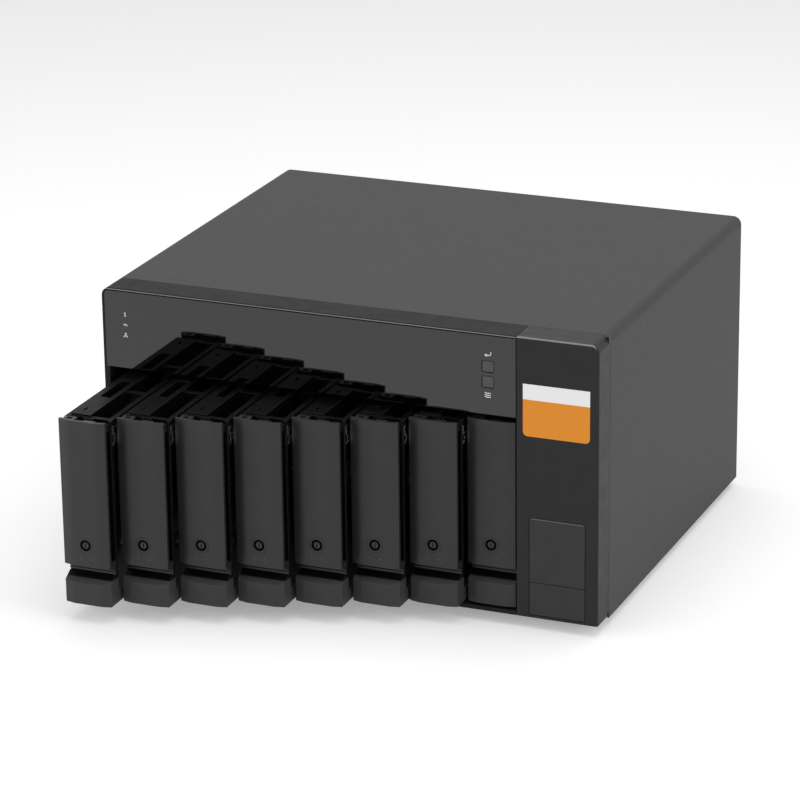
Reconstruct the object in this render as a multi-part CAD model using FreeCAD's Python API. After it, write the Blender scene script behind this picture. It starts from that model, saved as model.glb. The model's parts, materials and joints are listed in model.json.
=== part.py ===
import FreeCAD, Part
import math
import os

# Desktop disk shelf with eight upright hot-swap drive trays, a dark panel above them, a plain
# column beside them, two rear fans, a built-in power supply and two external data ports.
# Millimetres. +X is the right-hand side seen from the front, -Y is the front, +Z is up.
# The origin is the centre of the chassis footprint, on the surface that the feet stand on.
# The trays stand in a staircase: each one is a step further out than the tray on its right,
# and the right-hand tray is fully in.

# ---- Drives and bays ----
bay_count = 8
drive_width = 101.6          # a 3.5 inch drive standing on its side
drive_thickness = 26.1
drive_length = 147.0
drive_fit = 0.4              # drive to the tray round it
tray_gap = 2.05              # between two trays side by side
stagger_step = 12.7          # each tray stands this much further out than the next

# ---- Chassis ----
corner_radius = 5.5          # long top edges of bezel and cover
bezel_depth = 20.5           # front plane to the cover
bezel_wall = 3.7             # left wall beside the bays
bezel_front_wall = 2.5       # wall behind the dark panel, and front of the column
bezel_rim = 1.2              # top strip above the dark panel
bezel_side_rim = 1.6         # strip on the left of the dark panel
bezel_rail_height = 2.6      # sill under the trays
bezel_ground_gap = 7.4       # bezel underside above the floor
cover_ground_gap = 5.1       # cover side walls end this far above the floor
cover_sheet = 1.2
frame_sheet = 1.0            # base pan, rear panel and cage
seam_gap = 0.4               # bezel to cover, and bezel to column
nest_gap = 0.2               # between sheet parts that nest
left_margin = 8.65           # left bezel wall to the first tray
tray_side_gap = 1.4          # last tray to the column
tray_rise = 2.0              # sill to tray underside
tray_headroom = 3.85         # tray top to the dark panel
column_width = 52.4
column_wall = 2.2
panel_height = 50.2
panel_thickness = 3.0
panel_gap = 0.7              # dark line over the panel
panel_fit = 0.15             # panel to bezel at its other edges
panel_corner = 2.5
head_post = 7.0              # front board to the head's corners
pan_height = 6.3             # pan underside above the floor, and height of the feet

# ---- Behind the trays ----
connector_reach = 7.0        # rail ends to backplane
connector_overlap = 1.5      # how far a drive plugs into its connector
connector_offset = 2.0       # connector beside the drive's mounting face
connector_width = 6.4
connector_height = 44.0
connector_base = 8.0         # connector above the drive's lower edge
connector_wall = 1.4
connector_tongue = 1.2
air_slot_low = 12.0          # backplane air slot above the tray underside
air_slot_corner = 3.0
board_thickness = 1.6
plenum_depth = 77.8          # backplane to fans
fan_depth = 25.0
rear_recess = 1.2            # cover edge to rear panel

# ---- Tray ----
facet_width = 6.2            # slanted side facets of the tray front
facet_recess = 1.5
crease_radius = 20.0
lip_height = 14.0
grip_height = 11.8           # finger recess above the lip, at its mouth
recess_depth = 8.0           # finger recess behind the front plane
lip_slope = 4.8              # rise of the lip's slanted top
jaw_slope = 3.5              # drop of the handle's slanted underside
frame_front = 9.6            # front plane to the tray's own front wall
front_wall = 2.2
side_wall = 1.5
drive_air = 3.1              # room beside the drive for air
drive_front_gap = 3.2        # front wall to the drive
rail_overrun = 4.0           # rail ends behind the drive
rail_height = 8.3            # lower and upper rail
rail_skin = 2.0
rail_side = 3.0              # rail's side walls
strip_height = 1.25
strip_width = 13.0
strip_start = 1.2            # strip behind the front wall
strip_end = 8.0              # strip ahead of the rail ends
top_window = 44.0            # length of one opening in the right half of the upper rail
top_bridge = 4.0             # bridge between two such openings
wall_slot_width = 6.5        # air slots of the front wall
wall_slot_corner = 3.0
wall_slot_base = 12.0        # above the lock
side_window_margin = 9.0
side_window_bridge = 12.0
side_window_corner = 5.0
screw_hole_radius = 1.9
drive_hole_spacing = 44.45
drive_hole_edge = 3.175      # base screw holes inside the drive's edges
drive_hole_setback = 41.28   # rear holes ahead of the drive's connector end

# ---- Tray handle, lock and side spring ----
plate_thickness = 2.2
plate_overlap = 0.4          # how deep ribs and arms run into the plate
pivot_depth = 6.2            # hinge axis behind the front plane
pivot_drop = 5.25            # hinge axis below the plate top
pin_radius = 1.5
pin_clearance = 0.05
ear_radius = 2.4
ear_width = 2.1
ear_inset = 1.2
arm_width = 1.8
arm_length = 16.0            # deep part of an arm below the hinge axis
arm_taper = 9.0
arm_rib = 2.0                # rib below the arm behind the plate
side_play = 0.3
groove_height = 0.7          # grooves of the handle's grip
groove_depth = 0.9
groove_pitch = 1.8
tab_height = 1.1             # ledges at the plate's top edge
tab_left = 2.2
tab_width = 7.8
tab_depth = 5.2
tab_slot = 2.0
catch_left = 16.4
catch_depth = 1.6
lock_radius = 2.1
lock_clearance = 0.05
lock_ring_radius = 3.3
lock_ring_depth = 1.0
lock_collar = 1.2            # collar round the lock behind the plate
lock_height = 39.4           # lock axis above the tray underside
lock_reach = 8.0
key_slot_width = 0.8
key_slot_length = 2.8
key_slot_depth = 1.0
cam_length = 6.0
cam_thickness = 1.6
spring_thickness = 0.35
spring_bulge = 0.85
spring_width = 4.0
spring_length = 12.0
spring_rise = 4.5            # spring's root above the drive
spring_play = 0.1            # spring's free end to the tray

# ---- Guides ----
guide_plate = 1.5
guide_rib = 1.2
guide_run_gap = 0.3
guide_rib_height = 6.0
guide_runner_inset = 4.0
cage_gap = 1.5               # bezel to cage
cage_window_count = 2
cage_window_margin = 14.0
cage_window_side = 25.0
cage_window_corner = 6.0

# ---- Front electronics ----
button_width = 7.4
button_height = 7.0
button_pitch = 9.8
button_from_end = 17.9       # button centre to the right end of the panel
button_drop = 19.6           # upper button centre below the panel top
button_fit = 0.35
button_travel = 1.0
button_depth = 4.0
button_corner = 0.8
button_bevel = 0.3
stem_side = 3.2
stem_length = 4.0
switch_side = 6.0
switch_height = 2.0
plunger_radius = 1.5
plunger_length = 1.0
plunger_gap = 0.2            # switch plunger to a fully pressed button
light_radius = 1.1
light_inset = 15.8           # status lights from the chassis side
light_drop = 14.6
light_pitch = 6.9
display_width = 60.0
display_height = 22.0
display_depth = 6.0
display_gap = 8.0            # display to the button beside it

# ---- Column pieces ----
insert_inset = 7.8
insert_margin = 8.0
insert_top = 65.6            # above the bezel underside
insert_split = 23.4
insert_base = 1.6
insert_recess = 1.3
insert_gap = 0.35
insert_proud = 0.5
insert_corner = 2.5
label_inset = 4.1
label_margin = 5.5
label_height = 33.3
label_drop = 29.4            # below the chassis top
label_thickness = 0.2
label_corner = 3.0

# ---- Fans ----
fan_headroom = 8.05          # fans to the board shelf over them
fan_gap = 6.0                # between the fans, and at least beside the supply
fan_from_side = 6.5          # first fan to the inside of the cover
fan_wall = 2.5               # bore to the housing's flat sides
fan_hole_edge = 7.5          # screw holes inside the housing's sides
fan_tip_gap = 1.5
fan_corner = 4.0
fan_strut = 4.0
fan_hub_radius = 20.0
fan_hub_round = 2.0
fan_motor_depth = 4.5
fan_motor_gap = 0.6
fan_shaft_radius = 1.5
fan_shaft_seat = 1.0         # wall behind the shaft's bore
fan_hub_setback = 1.5        # hub behind the housing's inner face
fan_blades = 7
blade_thickness = 1.8
blade_root_chord = 15.0
blade_tip_chord = 27.0
fan_screw_radius = 2.2
grille_rings = 4
grille_core = 16.0           # middle disc of a grille
grille_margin = 2.0          # outermost slot inside the bore
grille_bar = 2.5
grille_spoke = 3.5

# ---- Power supply and ports ----
supply_gap = 4.05            # cage to supply
supply_height = 81.5
supply_length = 150.0
supply_from_side = 5.0
supply_slots = 8             # front air slots of the supply
supply_slot_pitch = 8.0
supply_slot_height = 3.5
supply_slot_inset = 6.0
vent_count = 5               # upright slots over the inlet
vent_pitch = 6.2
vent_width = 3.2
vent_margin = 8.0
inlet_width = 20.0
inlet_height = 27.0
inlet_flange = 2.4
inlet_rim = 3.0              # flange round the inlet
inlet_wall = 1.8
inlet_shoulder = 0.65        # share of the socket's half height that stays upright
inlet_depth = 16.0
inlet_pin_width = 4.0
inlet_pin_thickness = 2.0
inlet_pin_setback = 5.5      # pins behind the inlet's mouth
inlet_pin_pitch = 7.0
port_width = 22.0
port_height = 9.4
port_length = 28.0
port_wall = 1.6
port_pitch = 34.0
port_proud = 1.2             # port mouth outside the rear panel
port_tongue = 1.2
port_tongue_setback = 6.5
board_rise = 5.0             # ports' board above the shelf
board_depth = 96.0
board_width = 150.0
post_radius = 2.5
post_inset = 8.0
cooler_width = 32.5
cooler_depth = 32.0
cooler_height = 14.0
cooler_base = 3.0
cooler_fins = 6
cooler_fin = 2.5
slot_count = 7               # upright slots at the left end over the fans
slot_pitch = 9.0
slot_width = 4.0
slot_start = 40.0
slot_margin = 10.0

# ---- Feet and screws ----
foot_radius = 9.5
foot_inset = 30.0
foot_recess_radius = 3.5
foot_recess_depth = 3.0
screw_head_radius = 3.2
screw_head_height = 1.8
screw_shank_radius = 1.8
screw_shank_length = 4.6
screw_fit = 0.2
pan_slots = 8                # floor vents under the plenum
pan_slot_width = 4.0
pan_slot_length = 30.0
pan_slot_start = 12.0        # behind the backplane

# ---- Worked out from the sizes above ----
tray_width = side_wall + drive_fit + drive_thickness + drive_air
bay_pitch = tray_width + tray_gap
tray_height = 2 * rail_height + drive_width + 2 * drive_fit + strip_height
block_depth = frame_front + front_wall
drive_start = block_depth + drive_front_gap
drive_end = drive_start + drive_length
tray_length = drive_end + rail_overrun
chassis_width = column_width + tray_side_gap + bay_count * bay_pitch - tray_gap + left_margin + bezel_wall
tray_bottom = bezel_ground_gap + bezel_rail_height + tray_rise
tray_top = tray_bottom + tray_height
opening_top = tray_top + tray_headroom
chassis_height = opening_top + panel_height + panel_gap + bezel_rim
chassis_depth = tray_length + connector_reach + board_thickness + plenum_depth + fan_depth
chassis_depth = chassis_depth + frame_sheet + rear_recess

half_width = chassis_width / 2
left = -half_width
front = -chassis_depth / 2
rear = chassis_depth / 2
seam = front + bezel_depth
column_left = half_width - column_width
bezel_right = column_left - seam_gap
opening_left = left + bezel_wall
opening_bottom = bezel_ground_gap + bezel_rail_height
last_tray_left = column_left - tray_side_gap - tray_width
first_tray_left = last_tray_left - (bay_count - 1) * bay_pitch
backplane_front = front + tray_length + connector_reach
backplane_rear = backplane_front + board_thickness
rear_panel_outer = rear - rear_recess
rear_panel_inner = rear_panel_outer - frame_sheet
inner_half = half_width - cover_sheet - nest_gap
inner_top = chassis_height - cover_sheet - nest_gap
inner_radius = corner_radius - cover_sheet - nest_gap
pan_top = pan_height + frame_sheet
cage_floor_top = pan_top + frame_sheet
lower_guide_top = cage_floor_top + guide_plate
upper_guide_bottom = tray_top + guide_run_gap + guide_plate
upper_guide_top = upper_guide_bottom + guide_plate
cage_top = upper_guide_top + frame_sheet
cage_left = first_tray_left - tray_gap - frame_sheet
cage_right = last_tray_left + tray_width + tray_gap + frame_sheet
cage_front = seam + cage_gap
drive_low = tray_bottom + rail_height
drive_high = drive_low + drive_width + 2 * drive_fit
drive_middle = (drive_low + drive_high) / 2
drive_hole_width = drive_width - 2 * drive_hole_edge
frame_top = tray_top - strip_height
lip_top = tray_bottom + lip_height
plate_bottom = lip_top + grip_height
strip_left = 2 * side_wall
strip_right = strip_left + strip_width
pivot_z = tray_top - pivot_drop
lock_z = tray_bottom + lock_height
lock_x = tray_width / 2
panel_right = bezel_right - panel_fit
panel_left = left + bezel_side_rim + panel_fit
panel_bottom = opening_top + panel_fit
panel_top = opening_top + panel_height
button_x = panel_right - button_from_end
button_z = [panel_top - button_drop, panel_top - button_drop - button_pitch]
light_x = left + light_inset
plunger_front = front + button_depth + stem_length + button_travel + plunger_gap
switch_back = plunger_front + plunger_length + switch_height
supply_left = cage_right + supply_gap
supply_right = half_width - cover_sheet - supply_from_side
supply_top = pan_top + supply_height
fans_left = left + cover_sheet + fan_from_side
fan_room_high = upper_guide_top - fan_headroom - pan_top - nest_gap
fan_room_wide = (supply_left - fan_gap - fans_left - fan_gap) / 2
fan_size = min(fan_room_high, fan_room_wide)
fan_z = pan_top + nest_gap + fan_size / 2
fan_x = [fans_left + fan_size / 2 + step * (fan_size + fan_gap) for step in (0, 1)]
fan_front = rear_panel_inner - fan_depth
fan_bore_radius = fan_size / 2 - fan_wall
fan_hole_reach = fan_size / 2 - fan_hole_edge
rotor_radius = fan_bore_radius - fan_tip_gap
inlet_x = (supply_left + supply_right) / 2
inlet_z = pan_top + supply_height / 4
inlet_mouth = rear_panel_outer + inlet_flange
port_mouth = rear_panel_outer + port_proud
board_bottom = cage_top + board_rise
board_top = board_bottom + board_thickness
board_right = supply_left
port_x = [board_right - port_pitch * (step + 0.5) for step in (1, 0)]
insert_left = column_left + insert_inset
insert_right = half_width - insert_margin
insert_low = bezel_ground_gap + insert_base
insert_high = bezel_ground_gap + insert_top
insert_middle = bezel_ground_gap + insert_split


# ---- Shape helpers ----
def point(plane, u, v, at):
    """A point of a plane: XZ faces the front, XY lies flat, YZ stands along the depth."""
    if plane == "XZ":
        return FreeCAD.Vector(u, at, v)
    if plane == "XY":
        return FreeCAD.Vector(u, v, at)
    return FreeCAD.Vector(at, u, v)


def outline(plane, at, corners):
    """A closed wire through corners given as (u, v) or (u, v, radius)."""
    spots = [point(plane, c[0], c[1], at) for c in corners]
    radii = [c[2] if len(c) > 2 else 0 for c in corners]
    starts = []
    ends = []
    mids = []
    for index, spot in enumerate(spots):
        before = (spots[index - 1] - spot).normalize()
        after = (spots[(index + 1) % len(spots)] - spot).normalize()
        half = before.getAngle(after) / 2
        reach = radii[index] / math.tan(half)
        middle = (before + after).normalize() if radii[index] else FreeCAD.Vector()
        starts.append(spot + before * reach)
        ends.append(spot + after * reach)
        mids.append(spot + middle * (radii[index] / math.sin(half) - radii[index]))
    edges = []
    for index in range(len(spots)):
        if radii[index]:
            edges.append(Part.Arc(starts[index], mids[index], ends[index]).toShape())
        following = starts[(index + 1) % len(spots)]
        if (following - ends[index]).Length > 1e-6:
            edges.append(Part.LineSegment(ends[index], following).toShape())
    return Part.Wire(edges)


def prism(plane, start, end, corners):
    """A solid with the given outline, from start to end along the plane's normal."""
    face = Part.Face(outline(plane, start, corners))
    return face.extrude(point(plane, 0, 0, end - start))


def block(x0, x1, y0, y1, z0, z1):
    return Part.makeBox(x1 - x0, y1 - y0, z1 - z0, FreeCAD.Vector(x0, y0, z0))


def rounded(plane, start, end, u0, u1, v0, v1, radius):
    """A plate with four rounded corners."""
    corners = [(u0, v0, radius), (u1, v0, radius), (u1, v1, radius), (u0, v1, radius)]
    return prism(plane, start, end, corners)


def rod(plane, u, v, radius, start, end):
    """A round bar along the plane's normal."""
    return Part.makeCylinder(radius, end - start, point(plane, u, v, start), point(plane, 0, 0, 1))


def arch(y0, y1, x0, x1, z0, z1, left_radius, right_radius):
    """A plate facing the front, with its two top corners rounded."""
    corners = [(x0, z0), (x1, z0), (x1, z1, right_radius), (x0, z1, left_radius)]
    return prism("XZ", y0, y1, corners)


def joined(*solids):
    whole = solids[0]
    if len(solids) > 1:
        whole = whole.fuse(list(solids[1:]))
    return whole.removeSplitter()


def without(body, *tools):
    return body.cut(list(tools))


def group(solids):
    return Part.makeCompound(list(solids))


# ---- Chassis pieces ----
def make_bezel_frame():
    """Moulded front frame: sill, left wall, hollow head behind the dark panel, column backing."""
    shell = arch(front, seam, left, bezel_right, bezel_ground_gap, chassis_height, corner_radius, 0)
    top = chassis_height - bezel_rim
    recess_floor = front + panel_thickness + panel_fit
    head_floor = opening_top + bezel_front_wall
    opening = block(opening_left, bezel_right + 1, front - 1, seam + 1, opening_bottom, opening_top)
    panel_seat = arch(front - 1, recess_floor, left + bezel_side_rim, bezel_right + 1, opening_top, top,
                      panel_corner, 0)
    hollow = arch(recess_floor + bezel_front_wall, seam + 1, opening_left, bezel_right - bezel_front_wall,
                  head_floor, top - bezel_rim, corner_radius - bezel_wall, 0)
    cuts = [opening, panel_seat, hollow]
    for z in button_z:
        cuts.append(button_prism(z, front, seam, button_fit))
    for step in range(3):
        z = panel_top - light_drop - step * light_pitch
        cuts.append(rod("XZ", light_x, z, light_radius + side_play / 2, front, seam))
    cuts.append(display_prism(front, seam, nest_gap))
    backing_inset = column_wall + nest_gap
    backing = block(bezel_right - bezel_front_wall, half_width - backing_inset,
                    seam - bezel_front_wall, seam,
                    opening_top, chassis_height - backing_inset - corner_radius)
    post = block(column_left + backing_inset, half_width - backing_inset, seam - bezel_front_wall, seam,
                 bezel_ground_gap + backing_inset, opening_top)
    foot = block(bezel_right - bezel_front_wall, column_left + backing_inset, seam - bezel_front_wall, seam,
                 bezel_ground_gap, opening_bottom)
    foot_link = block(column_left, half_width - backing_inset, seam - bezel_front_wall, seam,
                      bezel_ground_gap, bezel_ground_gap + backing_inset)
    return joined(without(shell, *cuts), backing, post, foot, foot_link)


def make_right_column():
    """Open-backed column cap with a recess for the blanking cover and the strip under it."""
    shell = arch(front, seam - seam_gap - bezel_front_wall, column_left, half_width, bezel_ground_gap,
                 chassis_height, 0, corner_radius)
    skirt = arch(seam - seam_gap - bezel_front_wall, seam, half_width - column_wall, half_width,
                 bezel_ground_gap, chassis_height, 0, 0)
    crown = arch(seam - seam_gap - bezel_front_wall, seam, column_left, half_width,
                 chassis_height - column_wall - corner_radius, chassis_height, 0, corner_radius)
    inside = arch(front + bezel_front_wall, seam + 1,
                  column_left + column_wall, half_width - column_wall,
                  bezel_ground_gap + column_wall, chassis_height - column_wall,
                  0, corner_radius - column_wall)
    pocket_corners = [(insert_left, insert_low), (insert_right, insert_low),
                      (insert_right, insert_high, insert_corner), (insert_left, insert_high, insert_corner)]
    pocket = prism("XZ", front - 1, front + insert_recess, pocket_corners)
    edge_cut = block(half_width - 2 * corner_radius, half_width + 1, seam - seam_gap - bezel_front_wall,
                     seam + 1, bezel_ground_gap - 1, bezel_ground_gap + column_wall)
    body = joined(shell, without(skirt, edge_cut), crown)
    body = without(body, inside, pocket)
    edges = [edge for edge in body.Edges if is_front_corner(edge)]
    return body.makeFillet(cover_sheet, edges)


def is_front_corner(edge):
    """True for the upright outer edge of the column at the front."""
    box = edge.BoundBox
    upright = box.XLength < 1e-6 and box.YLength < 1e-6
    return upright and abs(box.XMin - half_width) < 1e-6 and abs(box.YMin - front) < 1e-6


def make_insert_door():
    """Raised blanking cover in the column."""
    low = insert_middle + insert_gap / 2
    corners = [(insert_left + insert_gap, low), (insert_right - insert_gap, low),
               (insert_right - insert_gap, insert_high - insert_gap, insert_corner - insert_gap),
               (insert_left + insert_gap, insert_high - insert_gap, insert_corner - insert_gap)]
    door = prism("XZ", front - insert_proud, front + insert_recess, corners)
    edges = [edge for edge in door.Edges if edge.BoundBox.YMax < front - insert_proud + 1e-6]
    return door.makeChamfer(insert_proud * 0.8, edges)


def make_insert_strip():
    """Flush strip under the blanking cover."""
    return block(insert_left + insert_gap, insert_right - insert_gap, front, front + insert_recess,
                 insert_low + insert_gap, insert_middle - insert_gap / 2)


def make_front_label():
    """Plain two-band colour label on the column."""
    high = chassis_height - label_drop
    low = high - label_height
    x0 = column_left + label_inset
    x1 = half_width - label_margin
    corners = [(x0, low, label_corner), (x1, low, label_corner), (x1, high), (x0, high)]
    return prism("XZ", front - label_thickness, front, corners)


def make_wrap_cover():
    """Sheet-metal cover: two sides and top in one piece, with return flanges at the bottom."""
    start = seam + seam_gap
    outer = arch(start, rear, left, half_width, cover_ground_gap, chassis_height,
                 corner_radius, corner_radius)
    inner = arch(start - 1, rear + 1, left + cover_sheet, half_width - cover_sheet, cover_ground_gap - 1,
                 chassis_height - cover_sheet, corner_radius - cover_sheet, corner_radius - cover_sheet)
    return without(outer, inner)


def make_base_pan():
    """Floor tray with upturned sides and vent slots."""
    start = seam + seam_gap
    floor = block(-inner_half, inner_half, start, rear_panel_inner, pan_height, pan_top)
    flange_top = pan_top + 2 * foot_radius
    sides = [block(x, x + frame_sheet, start, rear_panel_inner, pan_height, flange_top)
             for x in (-inner_half, inner_half - frame_sheet)]
    pitch = (cage_right - cage_left) / (pan_slots + 1)
    vent_front = backplane_rear + pan_slot_start
    cuts = []
    for step in range(pan_slots):
        x = cage_left + (step + 1) * pitch
        cuts.append(block(x - pan_slot_width / 2, x + pan_slot_width / 2, vent_front,
                          vent_front + pan_slot_length, 0, pan_top + 1))
    for x, y in foot_places():
        cuts.append(rod("XY", x, y, screw_shank_radius + screw_fit, 0, pan_top + 1))
    return without(joined(floor, *sides), *cuts)


def foot_places():
    x = half_width - foot_inset
    near = front + foot_inset
    far = rear - foot_inset
    return [(-x, near), (x, near), (-x, far), (x, far)]


def make_rubber_feet():
    """Four tapered rubber feet, each with a screw recess from below."""
    feet = []
    for x, y in foot_places():
        foot = Part.makeCone(foot_radius - 1, foot_radius, pan_height, FreeCAD.Vector(x, y, 0))
        feet.append(without(foot, rod("XY", x, y, foot_recess_radius, -1, foot_recess_depth)))
    return group(feet)


def grille_cuts(x):
    """Concentric ring slots with four spokes, for the fan behind the sheet."""
    y0 = rear_panel_inner - 1
    y1 = rear_panel_outer + 1
    spokes = []
    for angle in (45, 135):
        spoke = block(-fan_size, fan_size, y0, y1, -grille_spoke / 2, grille_spoke / 2)
        spoke.rotate(FreeCAD.Vector(0, 0, 0), FreeCAD.Vector(0, 1, 0), angle)
        spoke.translate(FreeCAD.Vector(x, 0, fan_z))
        spokes.append(spoke)
    ring_step = (fan_bore_radius - grille_margin + grille_bar - grille_core) / grille_rings
    cuts = []
    for ring in range(grille_rings):
        low = grille_core + ring * ring_step
        disc = rod("XZ", x, fan_z, low + ring_step - grille_bar, y0, y1)
        core = rod("XZ", x, fan_z, low, y0 - 1, y1 + 1)
        cuts.append(without(disc, core, *spokes))
    return cuts


def make_rear_panel():
    """Rear sheet with stamped fan grilles and openings for power and data."""
    panel = arch(rear_panel_inner, rear_panel_outer, -inner_half, inner_half, pan_height, inner_top,
                 inner_radius, inner_radius)
    y0 = rear_panel_inner - 1
    cuts = [inlet_prism(y0, rear, nest_gap)] + supply_vents(y0, rear)
    screw_places = cover_screw_places()
    for x in fan_x:
        cuts += grille_cuts(x)
        screw_places += fan_holes(x)
    for x, z in screw_places:
        cuts.append(rod("XZ", x, z, screw_shank_radius + screw_fit, y0, rear))
    for x in port_x:
        cuts.append(port_prism(x, y0, rear, nest_gap))
    for step in range(slot_count):
        x = left + slot_start + step * slot_pitch
        cuts.append(block(x, x + slot_width, y0, rear, board_top, inner_top - slot_margin))
    return without(panel, *cuts)


def supply_vents(y0, y1):
    """Upright vent slots over the power inlet."""
    first = inlet_x - ((vent_count - 1) * vent_pitch + vent_width) / 2
    vents = []
    for step in range(vent_count):
        x = first + step * vent_pitch
        vents.append(block(x, x + vent_width, y0, y1, inlet_z + inlet_height / 2 + vent_margin,
                           supply_top - vent_margin))
    return vents


def fan_holes(x):
    return [(x + side * fan_hole_reach, fan_z + height * fan_hole_reach)
            for side in (-1, 1) for height in (-1, 1)]


def cover_screw_places():
    z = chassis_height - 3 * corner_radius
    return [(-inner_half + corner_radius * 2, z), (0, z), (inner_half - corner_radius * 2, z)]


def make_case_screws():
    """Pan-head screws that hold the fans and the rear panel."""
    places = cover_screw_places()
    for x in fan_x:
        places += fan_holes(x)
    screws = []
    for x, z in places:
        shank = rod("XZ", x, z, screw_shank_radius, rear_panel_outer - screw_shank_length, rear_panel_outer)
        head = rod("XZ", x, z, screw_head_radius, rear_panel_outer, rear_panel_outer + screw_head_height)
        screws.append(joined(shank, head))
    return group(screws)


# ---- Drive cage ----
def make_drive_cage():
    """Sheet-metal floor and two windowed walls round the trays."""
    floor = block(cage_left, cage_right, cage_front, backplane_front, pan_top, cage_floor_top)
    walls = [block(x, x + frame_sheet, cage_front, backplane_front, pan_top, upper_guide_top)
             for x in (cage_left, cage_right - frame_sheet)]
    pitch = (backplane_front - cage_front - cage_window_margin) / cage_window_count
    windows = []
    for step in range(cage_window_count):
        start = cage_front + cage_window_margin + step * pitch
        windows.append(rounded("YZ", cage_left - 1, cage_right + 1,
                               start, start + pitch - cage_window_margin,
                               tray_bottom + cage_window_side, tray_top - cage_window_side,
                               cage_window_corner))
    return without(joined(floor, *walls), *windows)


def make_board_shelf():
    """Sheet-metal shelf over the trays and the plenum, with posts for the controller board."""
    shelf = block(cage_left, cage_right, cage_front, rear_panel_inner, upper_guide_top, cage_top)
    posts = []
    for x in (board_right - board_width + post_inset, board_right - post_inset - len(port_x) * port_pitch):
        for y in (rear_panel_inner - board_depth + post_inset, rear_panel_inner - post_inset):
            posts.append(rod("XY", x, y, post_radius, cage_top, board_bottom))
    return joined(shelf, *posts)


def rib_places():
    """Middle of each space between trays, with one at each end."""
    return [first_tray_left - tray_gap / 2 + step * bay_pitch for step in range(bay_count + 1)]


def make_bay_guides():
    """Plastic guide plates under and over the trays, with a strip between each pair of trays."""
    x0 = cage_left + frame_sheet
    x1 = cage_right - frame_sheet
    y1 = backplane_front - nest_gap
    lower = [block(x0, x1, cage_front, y1, cage_floor_top, lower_guide_top)]
    upper = [block(x0, x1, cage_front, y1, upper_guide_bottom, upper_guide_top)]
    strips = []
    for x in rib_places():
        strips.append(block(x - guide_rib / 2, x + guide_rib / 2, cage_front, y1, lower_guide_top,
                            lower_guide_top + guide_rib_height))
        strips.append(block(x - guide_rib / 2, x + guide_rib / 2, cage_front, y1,
                            upper_guide_bottom - guide_rib_height, upper_guide_bottom))
    for step in range(bay_count):
        x = first_tray_left + step * bay_pitch
        lower.append(block(x + guide_runner_inset, x + tray_width - guide_runner_inset, cage_front, y1,
                           lower_guide_top, tray_bottom - guide_run_gap))
        upper.append(block(x + guide_runner_inset, x + strip_right - guide_runner_inset, cage_front, y1,
                           tray_top + guide_run_gap, upper_guide_bottom))
    return group([joined(*lower), joined(*upper)] + strips)


def make_backplane_board():
    """Upright board behind the trays with air slots between the drive connectors."""
    board = block(cage_left, cage_right, backplane_front, backplane_rear, pan_top, upper_guide_top)
    cuts = []
    for step in range(bay_count):
        x = connector_left(step) + connector_width
        low = tray_bottom + air_slot_low
        cuts.append(rounded("XZ", backplane_front - 1, backplane_rear + 1, x + connector_offset,
                            x + drive_thickness - connector_width, low, tray_top - air_slot_low,
                            air_slot_corner))
    return without(board, *cuts)


def connector_left(step):
    """Left side of a bay's drive connector."""
    return first_tray_left + step * bay_pitch + side_wall + drive_fit + connector_offset


def make_drive_connectors():
    """One upright drive connector per bay, with its tongue facing the tray."""
    connectors = []
    mouth = front + drive_end - connector_overlap
    low = drive_low + connector_base
    high = low + connector_height
    for step in range(bay_count):
        x0 = connector_left(step)
        x1 = x0 + connector_width
        middle = (x0 + x1) / 2
        shell = block(x0, x1, mouth, backplane_front, low, high)
        socket = block(x0 + connector_wall, x1 - connector_wall,
                       mouth - 1, backplane_front - connector_wall,
                       low + connector_wall, high - connector_wall)
        tongue = block(middle - connector_tongue / 2, middle + connector_tongue / 2,
                       mouth + connector_tongue / 2, backplane_front - 1, low + 2 * connector_wall,
                       high - 2 * connector_wall)
        connectors.append(joined(without(shell, socket), tongue))
    return group(connectors)


# ---- Front panel pieces ----
def button_prism(z, y0, y1, grow):
    """The outline of a push button, grown all round."""
    w = button_width / 2 + grow
    h = button_height / 2 + grow
    return rounded("XZ", y0, y1, button_x - w, button_x + w, z - h, z + h, button_corner + grow)


def display_prism(y0, y1, grow):
    """The outline of the display beside the buttons, grown all round."""
    right = button_x - button_width / 2 - display_gap
    middle = (button_z[0] + button_z[1]) / 2
    return block(right - display_width - grow, right + grow, y0, y1, middle - display_height / 2 - grow,
                 middle + display_height / 2 + grow)


def make_glossy_panel():
    """Dark panel over the trays, with its two button holes."""
    panel = arch(front, front + panel_thickness, panel_left, panel_right, panel_bottom, panel_top,
                 panel_corner, 0)
    holes = [button_prism(z, front - 1, front + panel_thickness + 1, button_fit) for z in button_z]
    return without(panel, *holes)


def make_button(z):
    """Push button: cap in the panel, stem towards its switch."""
    cap = button_prism(z, front, front + button_depth, 0)
    edges = [edge for edge in cap.Edges if edge.BoundBox.YMax < front + 1e-6]
    cap = cap.makeChamfer(button_bevel, edges)
    stem = block(button_x - stem_side / 2, button_x + stem_side / 2, front + button_depth,
                 front + button_depth + stem_length, z - stem_side / 2, z + stem_side / 2)
    return joined(cap, stem)


def make_front_board():
    """Board behind the head of the bezel, with the two button switches."""
    low = min(button_z) - head_post
    high = panel_top - head_post
    head_back = front + panel_thickness + panel_fit + bezel_front_wall
    board = block(light_x - head_post, bezel_right - head_post, switch_back, switch_back + board_thickness,
                  low, high)
    switches = []
    for z in button_z:
        reach = switch_side / 2
        body_front = switch_back - switch_height
        switches.append(block(button_x - reach, button_x + reach, body_front, switch_back,
                              z - reach, z + reach))
        switches.append(rod("XZ", button_x, z, plunger_radius, body_front - plunger_length, body_front))
    carriers = []
    for x in (light_x + head_post, (light_x + bezel_right) / 2, bezel_right - 1.5 * head_post):
        carriers.append(rod("XZ", x, high - head_post / 2, plunger_radius, head_back, switch_back))
    return joined(board, *switches, *carriers)


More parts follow.
